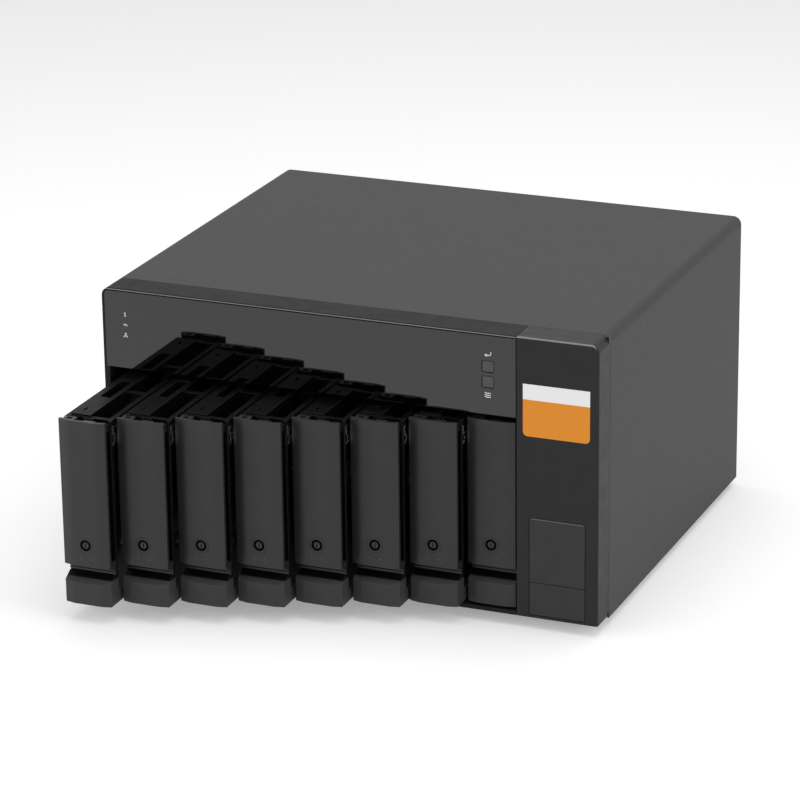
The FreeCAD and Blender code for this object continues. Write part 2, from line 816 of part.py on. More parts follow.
def make_status_lights():
    """Three light pipes for the status marks at the left end of the dark panel."""
    pipes = []
    for step in range(3):
        z = panel_top - light_drop - step * light_pitch
        pipes.append(rod("XZ", light_x, z, light_radius, front + panel_thickness, switch_back))
    return group(pipes)


def make_display_module():
    """Small display that reads through the dark panel."""
    return display_prism(front + panel_thickness + nest_gap / 2, front + panel_thickness + display_depth, 0)


# ---- Trays, drawn in the first bay's place with their front plane at the bezel front ----
def facet_back(x):
    """How far the tray front lies behind its middle facet at x."""
    edge = min(x, tray_width - x)
    return facet_recess * max(0, 1 - edge / facet_width)


def faceted(x0, x1, z0, z1, set_back, back, crease):
    """A block whose front follows the three facets of the tray front."""
    corners = [(x0, set_back + facet_back(x0)), (facet_width, set_back, crease),
               (tray_width - facet_width, set_back, crease), (x1, set_back + facet_back(x1)),
               (x1, back), (x0, back)]
    return prism("XY", z0, z1, corners)


def make_tray_frame():
    """Carrier frame: front block with slanted lip, wall and ears, windowed side plate, two rails."""
    lip_back = lip_top + lip_slope
    lip = faceted(0, tray_width, tray_bottom, lip_back, 0, block_depth, 0)
    mouth_corners = [(0, lip_top), (recess_depth, lip_back), (recess_depth, lip_back + 1),
                     (-1, lip_back + 1), (-1, lip_top)]
    mouth = prism("YZ", -1, tray_width + 1, mouth_corners)
    wall = block(0, tray_width, frame_front, block_depth, lip_top, frame_top)
    ears = []
    for x in (ear_inset, tray_width - ear_inset - ear_width):
        ears.append(prism("YZ", x, x + ear_width, ear_corners()))
    front_block = without(joined(without(lip, mouth), wall, *ears), *tray_wall_cuts())
    side = block(0, side_wall, block_depth, tray_length, drive_low, drive_high)
    lower_rail = block(0, tray_width, block_depth, tray_length, tray_bottom, drive_low)
    upper_rail = block(0, tray_width, block_depth, tray_length, drive_high, frame_top)
    strip = block(strip_left, strip_right, block_depth + strip_start, tray_length - strip_end, frame_top,
                  tray_top)
    return group([front_block, without(side, *tray_side_cuts()), without(lower_rail, *tray_rail_cuts()),
                  without(joined(upper_rail, strip), *tray_rail_cuts())])


def tray_rail_cuts():
    """Hollows of both rails, and the openings and recesses in the tray's top."""
    start = block_depth + rail_side
    inner_right = tray_width - rail_side
    cuts = [block(rail_side, inner_right, start, tray_length + 1, tray_bottom + rail_skin,
                  drive_low - rail_skin)]
    cuts.append(block(rail_side, strip_right - rail_skin, start, tray_length + 1, drive_high + rail_skin,
                      frame_top - rail_skin))
    windows = round((tray_length - start) / (top_window + top_bridge))
    pitch = (tray_length - start) / windows
    for step in range(windows):
        y = start + step * pitch
        cuts.append(block(strip_right, inner_right, y, y + pitch - top_bridge,
                          drive_high - 1, frame_top + 1))
    pocket_low = frame_top - rail_skin - 1
    pin_hole = strip_start + spring_width
    cuts.append(block(strip_left + lock_radius * 2, strip_left + cam_length, start + pin_hole,
                      start + 2 * pin_hole, pocket_low, tray_top + 1))
    cuts.append(block(strip_left + rail_side, strip_right - rail_side, start + top_window * 0.7,
                      start + top_window * 1.4, pocket_low, tray_top + 1))
    return cuts


def tray_wall_cuts():
    """Air slots and handle clearances in the tray's front wall, and the hinge bores."""
    margin = (tray_width - 2 * wall_slot_width) / 3
    cuts = []
    for x in (margin, 2 * margin + wall_slot_width):
        cuts.append(rounded("XZ", frame_front - 1, block_depth + 1, x, x + wall_slot_width,
                            lock_z + wall_slot_base, drive_high - wall_slot_base, wall_slot_corner))
    for x in (side_wall, tray_width - side_wall - tab_width - rail_side):
        cuts.append(block(x, x + tab_width + rail_side, frame_front - 1, block_depth,
                          pivot_z + pin_radius, frame_top + 1))
    for x in (0, tray_width):
        cuts.append(rod("YZ", pivot_depth, pivot_z, pin_radius + pin_clearance, x - ear_width * 2,
                        x + ear_width * 2))
    return cuts


def tray_side_cuts():
    """Windows and drive screw holes in the tray's side."""
    pitch = (tray_length - block_depth) / 3
    reach = (pitch - side_window_bridge) / 2
    cuts = []
    for step in range(3):
        middle = block_depth + (step + 0.5) * pitch
        cuts.append(rounded("YZ", -1, side_wall + 1, middle - reach, middle + reach,
                            drive_low + side_window_margin, drive_high - side_window_margin,
                            side_window_corner))
    for y in (drive_end - drive_hole_setback, drive_end - drive_hole_setback - drive_hole_spacing):
        for z in (drive_middle - drive_hole_width / 2, drive_middle + drive_hole_width / 2):
            cuts.append(rod("YZ", y, z, screw_hole_radius, -1, side_wall + 1))
    return cuts


def ear_corners():
    """Side outline of a hinge ear, rounded about the pin."""
    round_end = ear_radius * 0.999
    return [(frame_front, pivot_z - ear_radius), (frame_front, pivot_z + ear_radius),
            (pivot_depth - ear_radius, pivot_z + ear_radius, round_end),
            (pivot_depth - ear_radius, pivot_z - ear_radius, round_end)]


def make_tray_handle():
    """Swing-out handle plate with hinge arms, stiffening ribs, lower grip and lock bore."""
    front_corners = [(0, facet_recess), (facet_width, 0, crease_radius),
                     (tray_width - facet_width, 0, crease_radius), (tray_width, facet_recess)]
    back_corners = [(tray_width, facet_recess + plate_thickness),
                    (tray_width - facet_width, plate_thickness),
                    (facet_width, plate_thickness), (0, facet_recess + plate_thickness)]
    plate = prism("XY", plate_bottom, tray_top, front_corners + back_corners)
    plate_back = plate_thickness - plate_overlap
    arms = []
    pins = []
    arm_inset = ear_inset + ear_width + side_play
    arm_back = pivot_depth + ear_radius
    arm_top = pivot_z + ear_radius
    arm_low = pivot_z - arm_length
    for x in (arm_inset, tray_width - arm_inset - arm_width):
        corners = [(plate_back, arm_low), (plate_thickness + arm_rib, arm_low),
                   (arm_back, pivot_z - arm_taper, ear_radius),
                   (arm_back, arm_top, ear_radius - plate_overlap),
                   (plate_back, arm_top)]
        arms.append(prism("YZ", x, x + arm_width, corners))
        arms.append(block(x, x + arm_width, plate_back, plate_thickness + arm_rib, plate_bottom, arm_low))
    pin_length = arm_inset - ear_inset
    for x in (ear_inset + plate_overlap, tray_width - ear_inset - plate_overlap - pin_length):
        pins.append(rod("YZ", pivot_depth, pivot_z, pin_radius, x, x + pin_length))
    ledges = [block(tab_left, tab_left + tab_width, plate_back, plate_thickness + tab_depth,
                    tray_top - tab_height, tray_top),
              block(catch_left, catch_left + tab_width, plate_back, plate_thickness + catch_depth,
                    tray_top - tab_height, tray_top)]
    slot = block(tab_left + tab_slot, tab_left + tab_width - tab_slot, plate_thickness + tab_height,
                 plate_thickness + tab_depth - tab_height, tray_top - 2 * tab_height, tray_top + 1)
    collar = rod("XZ", lock_x, lock_z, lock_ring_radius + lock_collar, plate_back,
                 lock_reach - cam_thickness - side_play)
    body = joined(without(joined(plate, *ledges), slot), handle_grip(), collar, *arms, *pins)
    bore = rod("XZ", lock_x, lock_z, lock_radius + lock_clearance, -1, lock_reach)
    ring = rod("XZ", lock_x, lock_z, lock_ring_radius, -1, lock_ring_depth)
    return without(body, bore, ring)


def handle_grip():
    """Slanted underside of the handle, with a grooved grip at the back of the finger recess."""
    jaw_back = frame_front - side_play
    jaw_low = lip_top + lip_slope + side_play
    slope_end = plate_bottom - jaw_slope
    plate_back = plate_thickness - plate_overlap
    jaw_corners = [(facet_recess + plate_overlap, plate_bottom), (recess_depth, slope_end),
                   (recess_depth, jaw_low),
                   (jaw_back, jaw_low),
                   (jaw_back, plate_bottom + plate_thickness),
                   (jaw_back - plate_thickness, plate_bottom + plate_thickness),
                   (jaw_back - 2 * plate_thickness, plate_bottom + plate_overlap),
                   (plate_back, plate_bottom + plate_overlap)]
    jaw = prism("YZ", 0, tray_width, jaw_corners)
    chin = faceted(0, tray_width, plate_bottom - plate_overlap, plate_bottom + plate_overlap, 0,
                   facet_recess + plate_thickness, 0)
    grooves = []
    for step in (0, 1):
        high = slope_end - groove_height - step * groove_pitch
        grooves.append(block(-1, tray_width + 1, 0, recess_depth + groove_depth,
                             high - groove_height, high))
    return without(joined(jaw, chin), *grooves)


def make_tray_lock():
    """Lock barrel with a key slot in its face and a cam on its inner end."""
    face = lock_clearance * 4
    barrel = rod("XZ", lock_x, lock_z, lock_radius, face, lock_reach)
    cam = rounded("XZ", lock_reach - cam_thickness, lock_reach, lock_x - lock_radius, lock_x + lock_radius,
                  lock_z - cam_length, lock_z + lock_radius, cam_thickness)
    slot = block(lock_x - key_slot_width / 2, lock_x + key_slot_width / 2, face - 1, face + key_slot_depth,
                 lock_z - key_slot_length / 2, lock_z + key_slot_length / 2)
    return without(joined(barrel, cam), slot)


def make_tray_spring():
    """Bent leaf spring on the tray's right side that keeps it from rattling."""
    top = drive_high + spring_rise
    bend = top - spring_length / 3
    peak = top - spring_length * 2 / 3
    end = top - spring_length
    root = tray_width
    skin = root + spring_thickness
    corners = [(root, top), (skin, top), (skin, bend, 1), (skin + spring_bulge, peak, 1),
               (skin + spring_play, end), (root + spring_play, end), (root + spring_bulge, peak, 1),
               (root, bend, 1)]
    start = block_depth + side_play
    return prism("XZ", start, start + spring_width, corners)


def tray_offset(number):
    """Where tray 1 to bay_count stands at rest."""
    x = first_tray_left + (number - 1) * bay_pitch
    y = front - (bay_count - number) * stagger_step
    return FreeCAD.Vector(x, y, 0)


# ---- Fans ----
def make_fan_frame(x):
    """Square fan housing with round bore, corner holes, and four struts to the motor seat."""
    half = fan_size / 2
    start = fan_front
    end = rear_panel_inner
    case = rounded("XZ", start, end, x - half, x + half, fan_z - half, fan_z + half, fan_corner)
    struts = []
    for angle in (45, 135, 225, 315):
        strut = block(0, fan_bore_radius + fan_wall / 2, end - fan_strut, end,
                      -fan_strut / 2, fan_strut / 2)
        strut.rotate(FreeCAD.Vector(0, 0, 0), FreeCAD.Vector(0, 1, 0), angle)
        strut.translate(FreeCAD.Vector(x, 0, fan_z))
        struts.append(strut)
    seat = rod("XZ", x, fan_z, fan_hub_radius, end - fan_motor_depth, end)
    bore = rod("XZ", x, fan_z, fan_bore_radius, start - 1, end + 1)
    holes = [rod("XZ", hx, hz, fan_screw_radius, start - 1, end + 1) for hx, hz in fan_holes(x)]
    shaft_hole = rod("XZ", x, fan_z, fan_shaft_radius + pin_clearance, start, end - fan_shaft_seat)
    return without(joined(without(case, bore, *holes), seat, *struts), shaft_hole)


def make_fan_rotor(x):
    """Hub with swept, twisted blades and a shaft that runs in the motor seat."""
    hub_end = rear_panel_inner - fan_motor_depth - fan_motor_gap
    hub_start = fan_front + fan_hub_setback
    hub = rod("XZ", 0, 0, fan_hub_radius, hub_start, hub_end)
    front_edges = [edge for edge in hub.Edges if edge.BoundBox.YMax < hub_start + 1e-6]
    hub = hub.makeFillet(fan_hub_round, front_edges)
    shaft = rod("XZ", 0, 0, fan_shaft_radius, hub_end - 1, rear_panel_inner - fan_shaft_seat - side_play)
    blades = []
    for step in range(fan_blades):
        blade = make_blade(hub_start + fan_hub_round, hub_end - 1)
        blade.rotate(FreeCAD.Vector(0, 0, 0), FreeCAD.Vector(0, 1, 0), step * 360 / fan_blades)
        blades.append(blade)
    rotor = joined(hub, shaft, *blades)
    rotor.translate(FreeCAD.Vector(x, 0, fan_z))
    return rotor


def make_blade(y0, y1):
    """A blade lofted over three stations, each turned a little against the one before."""
    root = fan_hub_radius - 1
    stations = []
    for share, sweep, rise in ((0, 0, 1.0), (0.5, 12, 0.8), (1, 26, 0.62)):
        radius = root + (rotor_radius - root) * share
        chord = blade_root_chord + (blade_tip_chord - blade_root_chord) * share
        middle = FreeCAD.Vector(0, (y0 + y1) / 2, 0)
        reach = FreeCAD.Vector(0, (y1 - y0) / 2 * rise, 0)
        turn = math.radians(sweep)
        out = FreeCAD.Vector(math.cos(turn), 0, math.sin(turn))
        side = FreeCAD.Vector(-math.sin(turn), 0, math.cos(turn)) * (chord / 2)
        lead = out * radius + middle - side + reach
        tail = out * radius + middle + side - reach
        normal = out.cross(tail - lead).normalize() * (blade_thickness / 2)
        stations.append(Part.makePolygon([lead - normal, tail - normal * 0.6, tail + normal * 0.6,
                                          lead + normal, lead - normal]))
    blade = Part.makeLoft(stations, True, True)
    return blade.common(rod("XZ", 0, 0, rotor_radius, y0 - 1, y1 + 1))


# ---- Power and data ----
def inlet_prism(y0, y1, grow):
    """The power inlet's body outline, grown all round."""
    w = inlet_width / 2 + grow
    h = inlet_height / 2 + grow
    return block(inlet_x - w, inlet_x + w, y0, y1, inlet_z - h, inlet_z + h)


def make_power_supply():
    """Long narrow sheet-metal supply with vent slots at both ends."""
    start = rear_panel_inner - supply_length
    shell = block(supply_left, supply_right, start, rear_panel_inner, pan_top, supply_top)
    inside = block(supply_left + frame_sheet, supply_right - frame_sheet, start + frame_sheet,
                   rear_panel_inner - frame_sheet, pan_top + frame_sheet, supply_top - frame_sheet)
    rear_wall = rear_panel_inner - 2 * frame_sheet
    cuts = [inside, inlet_prism(rear_wall, rear, nest_gap)] + supply_vents(rear_wall, rear)
    for step in range(supply_slots):
        z = pan_top + (step + 1) * supply_slot_pitch
        cuts.append(block(supply_left + supply_slot_inset, supply_right - supply_slot_inset, start - 1,
                          start + 2 * frame_sheet, z, z + supply_slot_height))
    return without(shell, *cuts)


def make_power_inlet():
    """Three-pin power inlet with its flange outside the rear panel."""
    floor = inlet_mouth - inlet_depth
    body = inlet_prism(floor, inlet_mouth, 0)
    reach_x = inlet_width / 2 + inlet_rim
    reach_z = inlet_height / 2 + inlet_rim
    flange = rounded("XZ", rear_panel_outer, inlet_mouth, inlet_x - reach_x, inlet_x + reach_x,
                     inlet_z - reach_z, inlet_z + reach_z, inlet_rim)
    w = inlet_width / 2 - inlet_wall
    h = inlet_height / 2 - inlet_wall
    shoulder = h * inlet_shoulder
    socket_corners = [(inlet_x - w, inlet_z - h), (inlet_x + w / 2, inlet_z - h),
                      (inlet_x + w, inlet_z - shoulder), (inlet_x + w, inlet_z + shoulder),
                      (inlet_x + w / 2, inlet_z + h), (inlet_x - w, inlet_z + h)]
    socket = prism("XZ", floor + inlet_wall, inlet_mouth + 1, socket_corners)
    pins = []
    for step in (-1, 0, 1):
        x = inlet_x + (inlet_pin_thickness if step == 0 else -inlet_pin_thickness)
        z = inlet_z + step * inlet_pin_pitch
        pins.append(block(x - inlet_pin_width / 2, x + inlet_pin_width / 2, floor + 1,
                          inlet_mouth - inlet_pin_setback, z - inlet_pin_thickness / 2,
                          z + inlet_pin_thickness / 2))
    return joined(without(joined(body, flange), socket), *pins)


def port_prism(x, y0, y1, grow):
    """A data port's outline, grown all round."""
    w = port_width / 2 + grow
    return block(x - w, x + w, y0, y1, board_top - grow, board_top + port_height + grow)


def make_data_ports():
    """Two external data port cages, each with a contact tongue."""
    ports = []
    reach = port_width / 2 - port_wall
    middle = board_top + port_height / 2
    for x in port_x:
        shell = port_prism(x, port_mouth - port_length, port_mouth, 0)
        socket = block(x - reach, x + reach, port_mouth - port_length + port_wall, port_mouth + 1,
                       board_top + port_wall, board_top + port_height - port_wall)
        tongue = block(x - reach + port_wall, x + reach - port_wall, port_mouth - port_length + 1,
                       port_mouth - port_tongue_setback, middle - port_tongue / 2, middle + port_tongue / 2)
        ports.append(joined(without(shell, socket), tongue))
    return group(ports)


def make_controller_board():
    """Board on the shelf over the plenum that carries the data ports and their chip cooler."""
    x0 = board_right - board_width
    y0 = rear_panel_inner - board_depth
    board = block(x0, board_right, y0, rear_panel_inner - 1, board_bottom, board_top)
    cooler_left = x0 + (board_width - cooler_width) * 0.34
    cooler_front = y0 + (board_depth - cooler_depth) * 0.31
    cooler_back = cooler_front + cooler_depth
    base = block(cooler_left, cooler_left + cooler_width, cooler_front, cooler_back, board_top,
                 board_top + cooler_base)
    fin_pitch = (cooler_width - cooler_fin) / (cooler_fins - 1)
    fins = []
    for step in range(cooler_fins):
        x = cooler_left + step * fin_pitch
        fins.append(block(x, x + cooler_fin, cooler_front, cooler_back,
                          board_top, board_top + cooler_height))
    return joined(board, base, *fins)


# ---- Export ----
def save(name, shape):
    shape.exportStep("parts/" + name + ".step")


os.makedirs("parts", exist_ok=True)
save("bezel_frame", make_bezel_frame())
save("right_column", make_right_column())
save("insert_door", make_insert_door())
save("insert_strip", make_insert_strip())
save("front_label", make_front_label())
save("wrap_cover", make_wrap_cover())
save("base_pan", make_base_pan())
save("rubber_feet", make_rubber_feet())
save("rear_panel", make_rear_panel())
save("case_screws", make_case_screws())
save("drive_cage", make_drive_cage())
save("board_shelf", make_board_shelf())
save("bay_guides", make_bay_guides())
save("backplane_board", make_backplane_board())
save("drive_connectors", make_drive_connectors())
save("glossy_panel", make_glossy_panel())
save("button_enter", make_button(button_z[0]))
save("button_select", make_button(button_z[1]))
save("front_board", make_front_board())
save("status_lights", make_status_lights())
save("display_module", make_display_module())
save("fan_frames", group([make_fan_frame(x) for x in fan_x]))
save("fan_rotor_left", make_fan_rotor(fan_x[0]))
save("fan_rotor_right", make_fan_rotor(fan_x[1]))
save("power_supply", make_power_supply())
save("power_inlet", make_power_inlet())
save("data_ports", make_data_ports())
save("controller_board", make_controller_board())
tray_pieces = {
    "frame": make_tray_frame(),
    "handle": make_tray_handle(),
    "lock": make_tray_lock(),
    "spring": make_tray_spring(),
}
for number in range(1, bay_count + 1):
    for piece, shape in tray_pieces.items():
        save("tray_%d_%s" % (number, piece), shape.translated(tray_offset(number)))
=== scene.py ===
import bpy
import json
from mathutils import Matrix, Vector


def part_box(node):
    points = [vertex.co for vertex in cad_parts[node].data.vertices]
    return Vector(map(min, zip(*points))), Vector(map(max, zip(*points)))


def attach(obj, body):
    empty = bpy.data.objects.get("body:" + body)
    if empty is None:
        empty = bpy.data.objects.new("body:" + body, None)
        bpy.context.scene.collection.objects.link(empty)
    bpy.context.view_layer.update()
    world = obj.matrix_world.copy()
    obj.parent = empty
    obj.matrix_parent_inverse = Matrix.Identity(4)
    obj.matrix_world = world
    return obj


bl_info = {
    "name": "Disk Shelf Enclosure",
    "version": (1, 0, 0),
    "blender": (4, 5, 0),
    "location": "3D View > Sidebar > Disk Shelf",
    "description": "Finishes and small details of a desktop disk shelf with eight drive trays",
    "category": "Object",
}

import json
import math

import bmesh
import bpy
from mathutils import Matrix, Vector

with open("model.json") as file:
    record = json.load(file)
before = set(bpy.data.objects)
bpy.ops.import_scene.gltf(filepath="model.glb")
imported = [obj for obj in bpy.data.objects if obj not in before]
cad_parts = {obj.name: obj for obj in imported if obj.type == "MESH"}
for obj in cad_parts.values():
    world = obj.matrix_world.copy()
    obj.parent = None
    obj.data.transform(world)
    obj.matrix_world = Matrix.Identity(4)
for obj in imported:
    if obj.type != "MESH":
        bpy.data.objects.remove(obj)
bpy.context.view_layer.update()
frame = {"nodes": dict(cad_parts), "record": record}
NODES = frame["nodes"]
MM = 0.001
BAYS = range(1, 9)
DIAGONAL = math.sqrt(0.5)

# A colour Mix node shares its socket names between data types, so its sockets go by number.
MIX_COLOURS = (6, 7)
MIX_RESULT = 2

# Tones of the pieces that are small or hidden.
WHITE = (1, 1, 1)
BLACK_PLASTIC = (0.012, 0.012, 0.0125)
GUIDE_PLASTIC = (0.02, 0.02, 0.02)
LOCK_METAL = (0.018, 0.018, 0.018)
# Black ring painted into the lock's groove as painted shade.
LOCK_GROOVE_SHADE = (0.001, 0.001, 0.001)
# Dark line painted at the edge of the shallow dish round each lock, as painted shade.
DISH_EDGE_SHADE = (0.007, 0.007, 0.007)
TRAY_LIGHT = (0.09, 0.09, 0.09)
FILTER_FOAM = (0.004, 0.004, 0.004)
SPRING_STEEL = (0.75, 0.75, 0.75)
SCREW_STEEL = (0.22, 0.22, 0.22)
FROSTED_LIGHT = (0.6, 0.62, 0.6)
SOLDER_PAD = (0.55, 0.5, 0.38)

# Places of the finishes that change along a piece.
RIM_BAND = (1.25 * MM, 0.5 * MM)      # painted highlight line of the bezel, below its top
RIM_BLUR = (0.05 * MM, 0.1 * MM)      # how softly that line starts and ends
RIM_FRONT = (0.6 * MM, 0.5 * MM)      # how far it reaches in from the bezel's front
COLUMN_HIGHLIGHT = (9 * MM, 7 * MM)        # where the painted highlight on the column's edge starts, below its top
DOOR_HIGHLIGHT = (2.5 * MM, 1.5 * MM)      # and that of the blanking cover
LIP_TOP = 3.0 * MM                    # the lip, painted lighter as painted light, ends this far below the handle
LIP_BLUR = 0.5 * MM
LABEL_SPLIT = 0.705                   # share of the label's height under its pale head
LABEL_BLUR = 0.05 * MM

# Small pieces.
INK_SEAT = 0.02 * MM                  # how far a printed mark sinks into the panel
LIGHT_SEAT = 0.3 * MM                 # how far a tray light sinks into the handle
# Profile of the black ring of painted shade in the lock's groove.
LOCK_GROOVE_SHADE_PROFILE = ((3.25, 0.95), (3.25, 0.05), (3.7, 0.05), (3.7, -0.02),
                (3.55, -0.05), (2.25, -0.05), (2.14, 0.05), (2.14, 0.95))
DISH_EDGE_SHADE_WIDTH = 0.32                # millimetres, as the profile above
DISH_DEPTHS = (0.1, -0.012)
FILTER_MARGIN = 1.5 * MM              # filter past the rotor's tips
FILTER_FRONT = 1.6 * MM               # filter's inner face, before the fan housings
FILTER_BACK = 0.2 * MM
FILTER_BAR = 3 * MM
FILTER_BAR_FRONT = 2.4 * MM
FILTER_BAR_BACK = 1.5 * MM
FILTER_BAR_REACH = 0.98               # share of the filter's radius

# Printed symbols, in millimetres from their own anchor points.
ARROW_RISE = 4.6                      # enter arrow over the upper button
ARROW_REACH = (0.4, 0.45)             # its left and right ends, in symbol widths
ARROW_HOOK = ((0, 1.4), (0, -0.1), (-0.3, -0.65), (-0.9, -0.9))
ARROW_TAIL = (0.8, -0.9)
ARROW_HEAD = ((-0.5, -0.9), (1.2, -2.0), (1.2, 0.2))
LIST_DROP = 4.9                       # list under the lower button
LIST_REACH = (0.3, 0.42)
LIST_STEP = 1.25
LIST_TICK = ((-0.1, 0), (-0.6, 0.55))
STATUS_SCALE = 1.25 * MM
STATUS_BOLD = 1.25                    # line width against the other symbols
STATUS_LINES = (
    (0, ((0, -1.0), (0, 1.0))), (0, ((-0.5, 0.5), (0, 1.0))), (0, ((-0.5, -1.0), (0.5, -1.0))),
    (1, ((-1, -0.3), (0, 0.5))), (1, ((0, 0.5), (0.3, -0.5))), (1, ((0.3, -0.5), (1.1, 0.1))),
    (2, ((0, 0.5), (-1.0, -1.0))), (2, ((0, 0.5), (1.0, -1.0))), (2, ((-0.6, -0.4), (0.6, -0.4))),
)
STATUS_DOT = (0.8, 0.5)               # its height and radius, on the lowest symbol

# Studio.
LAMP_TARGET = (0, 0, 0.1)
LAMPS = (
    ("lamp_above", (0.15, 0.1, 1.5), (1.6, 1.4), "key"),
    ("lamp_right", (1.7, -0.2, 0.7), (1.3, 1.3), "side"),
    ("lamp_front", (-0.6, -2.0, 1.0), (1.5, 1.2), "fill"),
    ("lamp_left", (-1.9, -1.3, 0.5), (1.0, 0.8), "left"),
)
FLOOR_REACH = 6
FLOOR_GLOW = 0.3
FLOOR_COLOUR = (0.82, 0.82, 0.82)
SENSOR_WIDTH = 36
VIEW_DEPTH = 50


# ---- Settings ----
def colour_setting(name, description, value):
    """A colour that the sidebar shows."""
    return bpy.props.FloatVectorProperty(name=name, description=description, default=value,
                                         size=3, subtype="COLOR", min=0, max=1)


def length_setting(name, description, value):
    """A length that the sidebar shows."""
    return bpy.props.FloatProperty(name=name, description=description, default=value,
                                   unit="LENGTH", subtype="DISTANCE", min=0)


def angle_setting(name, description, degrees):
    """An angle that the sidebar shows."""
    return bpy.props.FloatProperty(name=name, description=description,
                                   default=math.radians(degrees), subtype="ANGLE")


def level_setting(name, description, value):
    """A plain number that the sidebar shows."""
    return bpy.props.FloatProperty(name=name, description=description, default=value)


class ShelfColours(bpy.types.PropertyGroup):
    """Colours of the finishes."""
    cover: colour_setting("Cover", "Powder coat of the cover and rear panel", (0.040, 0.040, 0.041))
    bezel: colour_setting("Bezel", "Moulded front frame", (0.017, 0.017, 0.0173))
    column: colour_setting("Column", "Column cap on the right", (0.027, 0.0262, 0.0277))
    insert: colour_setting("Blanking cover", "Cover and strip in the column",
                           (0.037, 0.0362, 0.0377))
    panel: colour_setting("Dark panel", "Glossy panel over the trays", (0.001, 0.001, 0.0011))
    # Colour of the painted highlight along the bezel rim and along the upper edges of the column
    # and blanking cover.
    painted_highlight: colour_setting("Rim", "Burnished edge over the dark panel", (0.22, 0.22, 0.22))
    # Tray is near black as painted shade on the carrier's top and sides; Tray lip is painted
    # lighter as painted light on its front.
    tray: colour_setting("Tray", "Tray carrier plastic", (0.0025, 0.0025, 0.0026))
    lip: colour_setting("Tray lip", "Lip at the foot of a tray", (0.054, 0.054, 0.0542))
    handle: colour_setting("Handle", "Tray handle plastic", (0.0165, 0.0165, 0.0167))
    label_band: colour_setting("Label band", "Lower band of the label", (0.74, 0.25, 0.006))
    label_head: colour_setting("Label head", "Upper band of the label", (0.86, 0.85, 0.86))
    board: colour_setting("Circuit board", "Solder mask", (0.012, 0.075, 0.03))
    steel: colour_setting("Sheet steel", "Zinc-coated sheet", (0.56, 0.57, 0.58))
    # Cage zinc is painted near black as painted shade, standing for the dark inside of the shelf.
    cage: colour_setting("Cage", "Dark zinc plate of the cage and floor", (0.035, 0.035, 0.036))
    print_ink: colour_setting("Printed marks", "Symbols beside buttons and lights",
                              (0.75, 0.76, 0.77))
    button: colour_setting("Button", "Push buttons in the dark panel", (0.045, 0.045, 0.0455))


class ShelfSizes(bpy.types.PropertyGroup):
    """Sizes of the small details."""
    edge: length_setting("Edge radius", "Rounding of moulded edges", 0.35 * MM)
    sheet_edge: length_setting("Sheet edge", "Rounding of sheet-metal edges", 0.2 * MM)
    ink: length_setting("Ink thickness", "How far printed marks stand out", 0.04 * MM)
    stroke: length_setting("Stroke", "Line width of the printed symbols", 0.5 * MM)
    symbol: length_setting("Symbol width", "Width of a printed symbol", 4.4 * MM)
    tray_light: length_setting("Tray light", "Radius of the lights on a tray", 0.35 * MM)
    tray_light_reach: length_setting("Light spacing", "Light to the tray's middle", 3.6 * MM)
    tray_light_drop: length_setting("Light height", "Lights below the lock", 8.85 * MM)
    dish: length_setting("Lock dish", "Radius of the shallow dish round a lock", 5.2 * MM)


class ShelfStudio(bpy.types.PropertyGroup):
    """Camera and lamps."""
    azimuth: angle_setting("Azimuth", "Camera to the right of the front", 22.66)
    elevation: angle_setting("Elevation", "Camera above the horizon", 19.78)
    roll: angle_setting("Roll", "Camera tilt about its own axis", -0.74)
    position: bpy.props.FloatVectorProperty(name="Position", description="Camera place", size=3,
                                            default=(0.85584, -2.10264, 0.90315),
                                            subtype="TRANSLATION")
    lens: level_setting("Lens", "Focal length in millimetres", 166.99)
    sky: level_setting("Sky", "Strength of the even light", 0.42)
    key: level_setting("Key", "Power of the lamp above", 12.0)
    side: level_setting("Side", "Power of the lamp on the right", 11.0)
    fill: level_setting("Fill", "Power of the lamp in front", 5.0)
    left: level_setting("Left", "Power of the low lamp on the left", 20.0)


def colours():
    """The colours set in the sidebar."""
    return bpy.context.scene.shelf_colours


def sizes():
    """The sizes set in the sidebar."""
    return bpy.context.scene.shelf_sizes


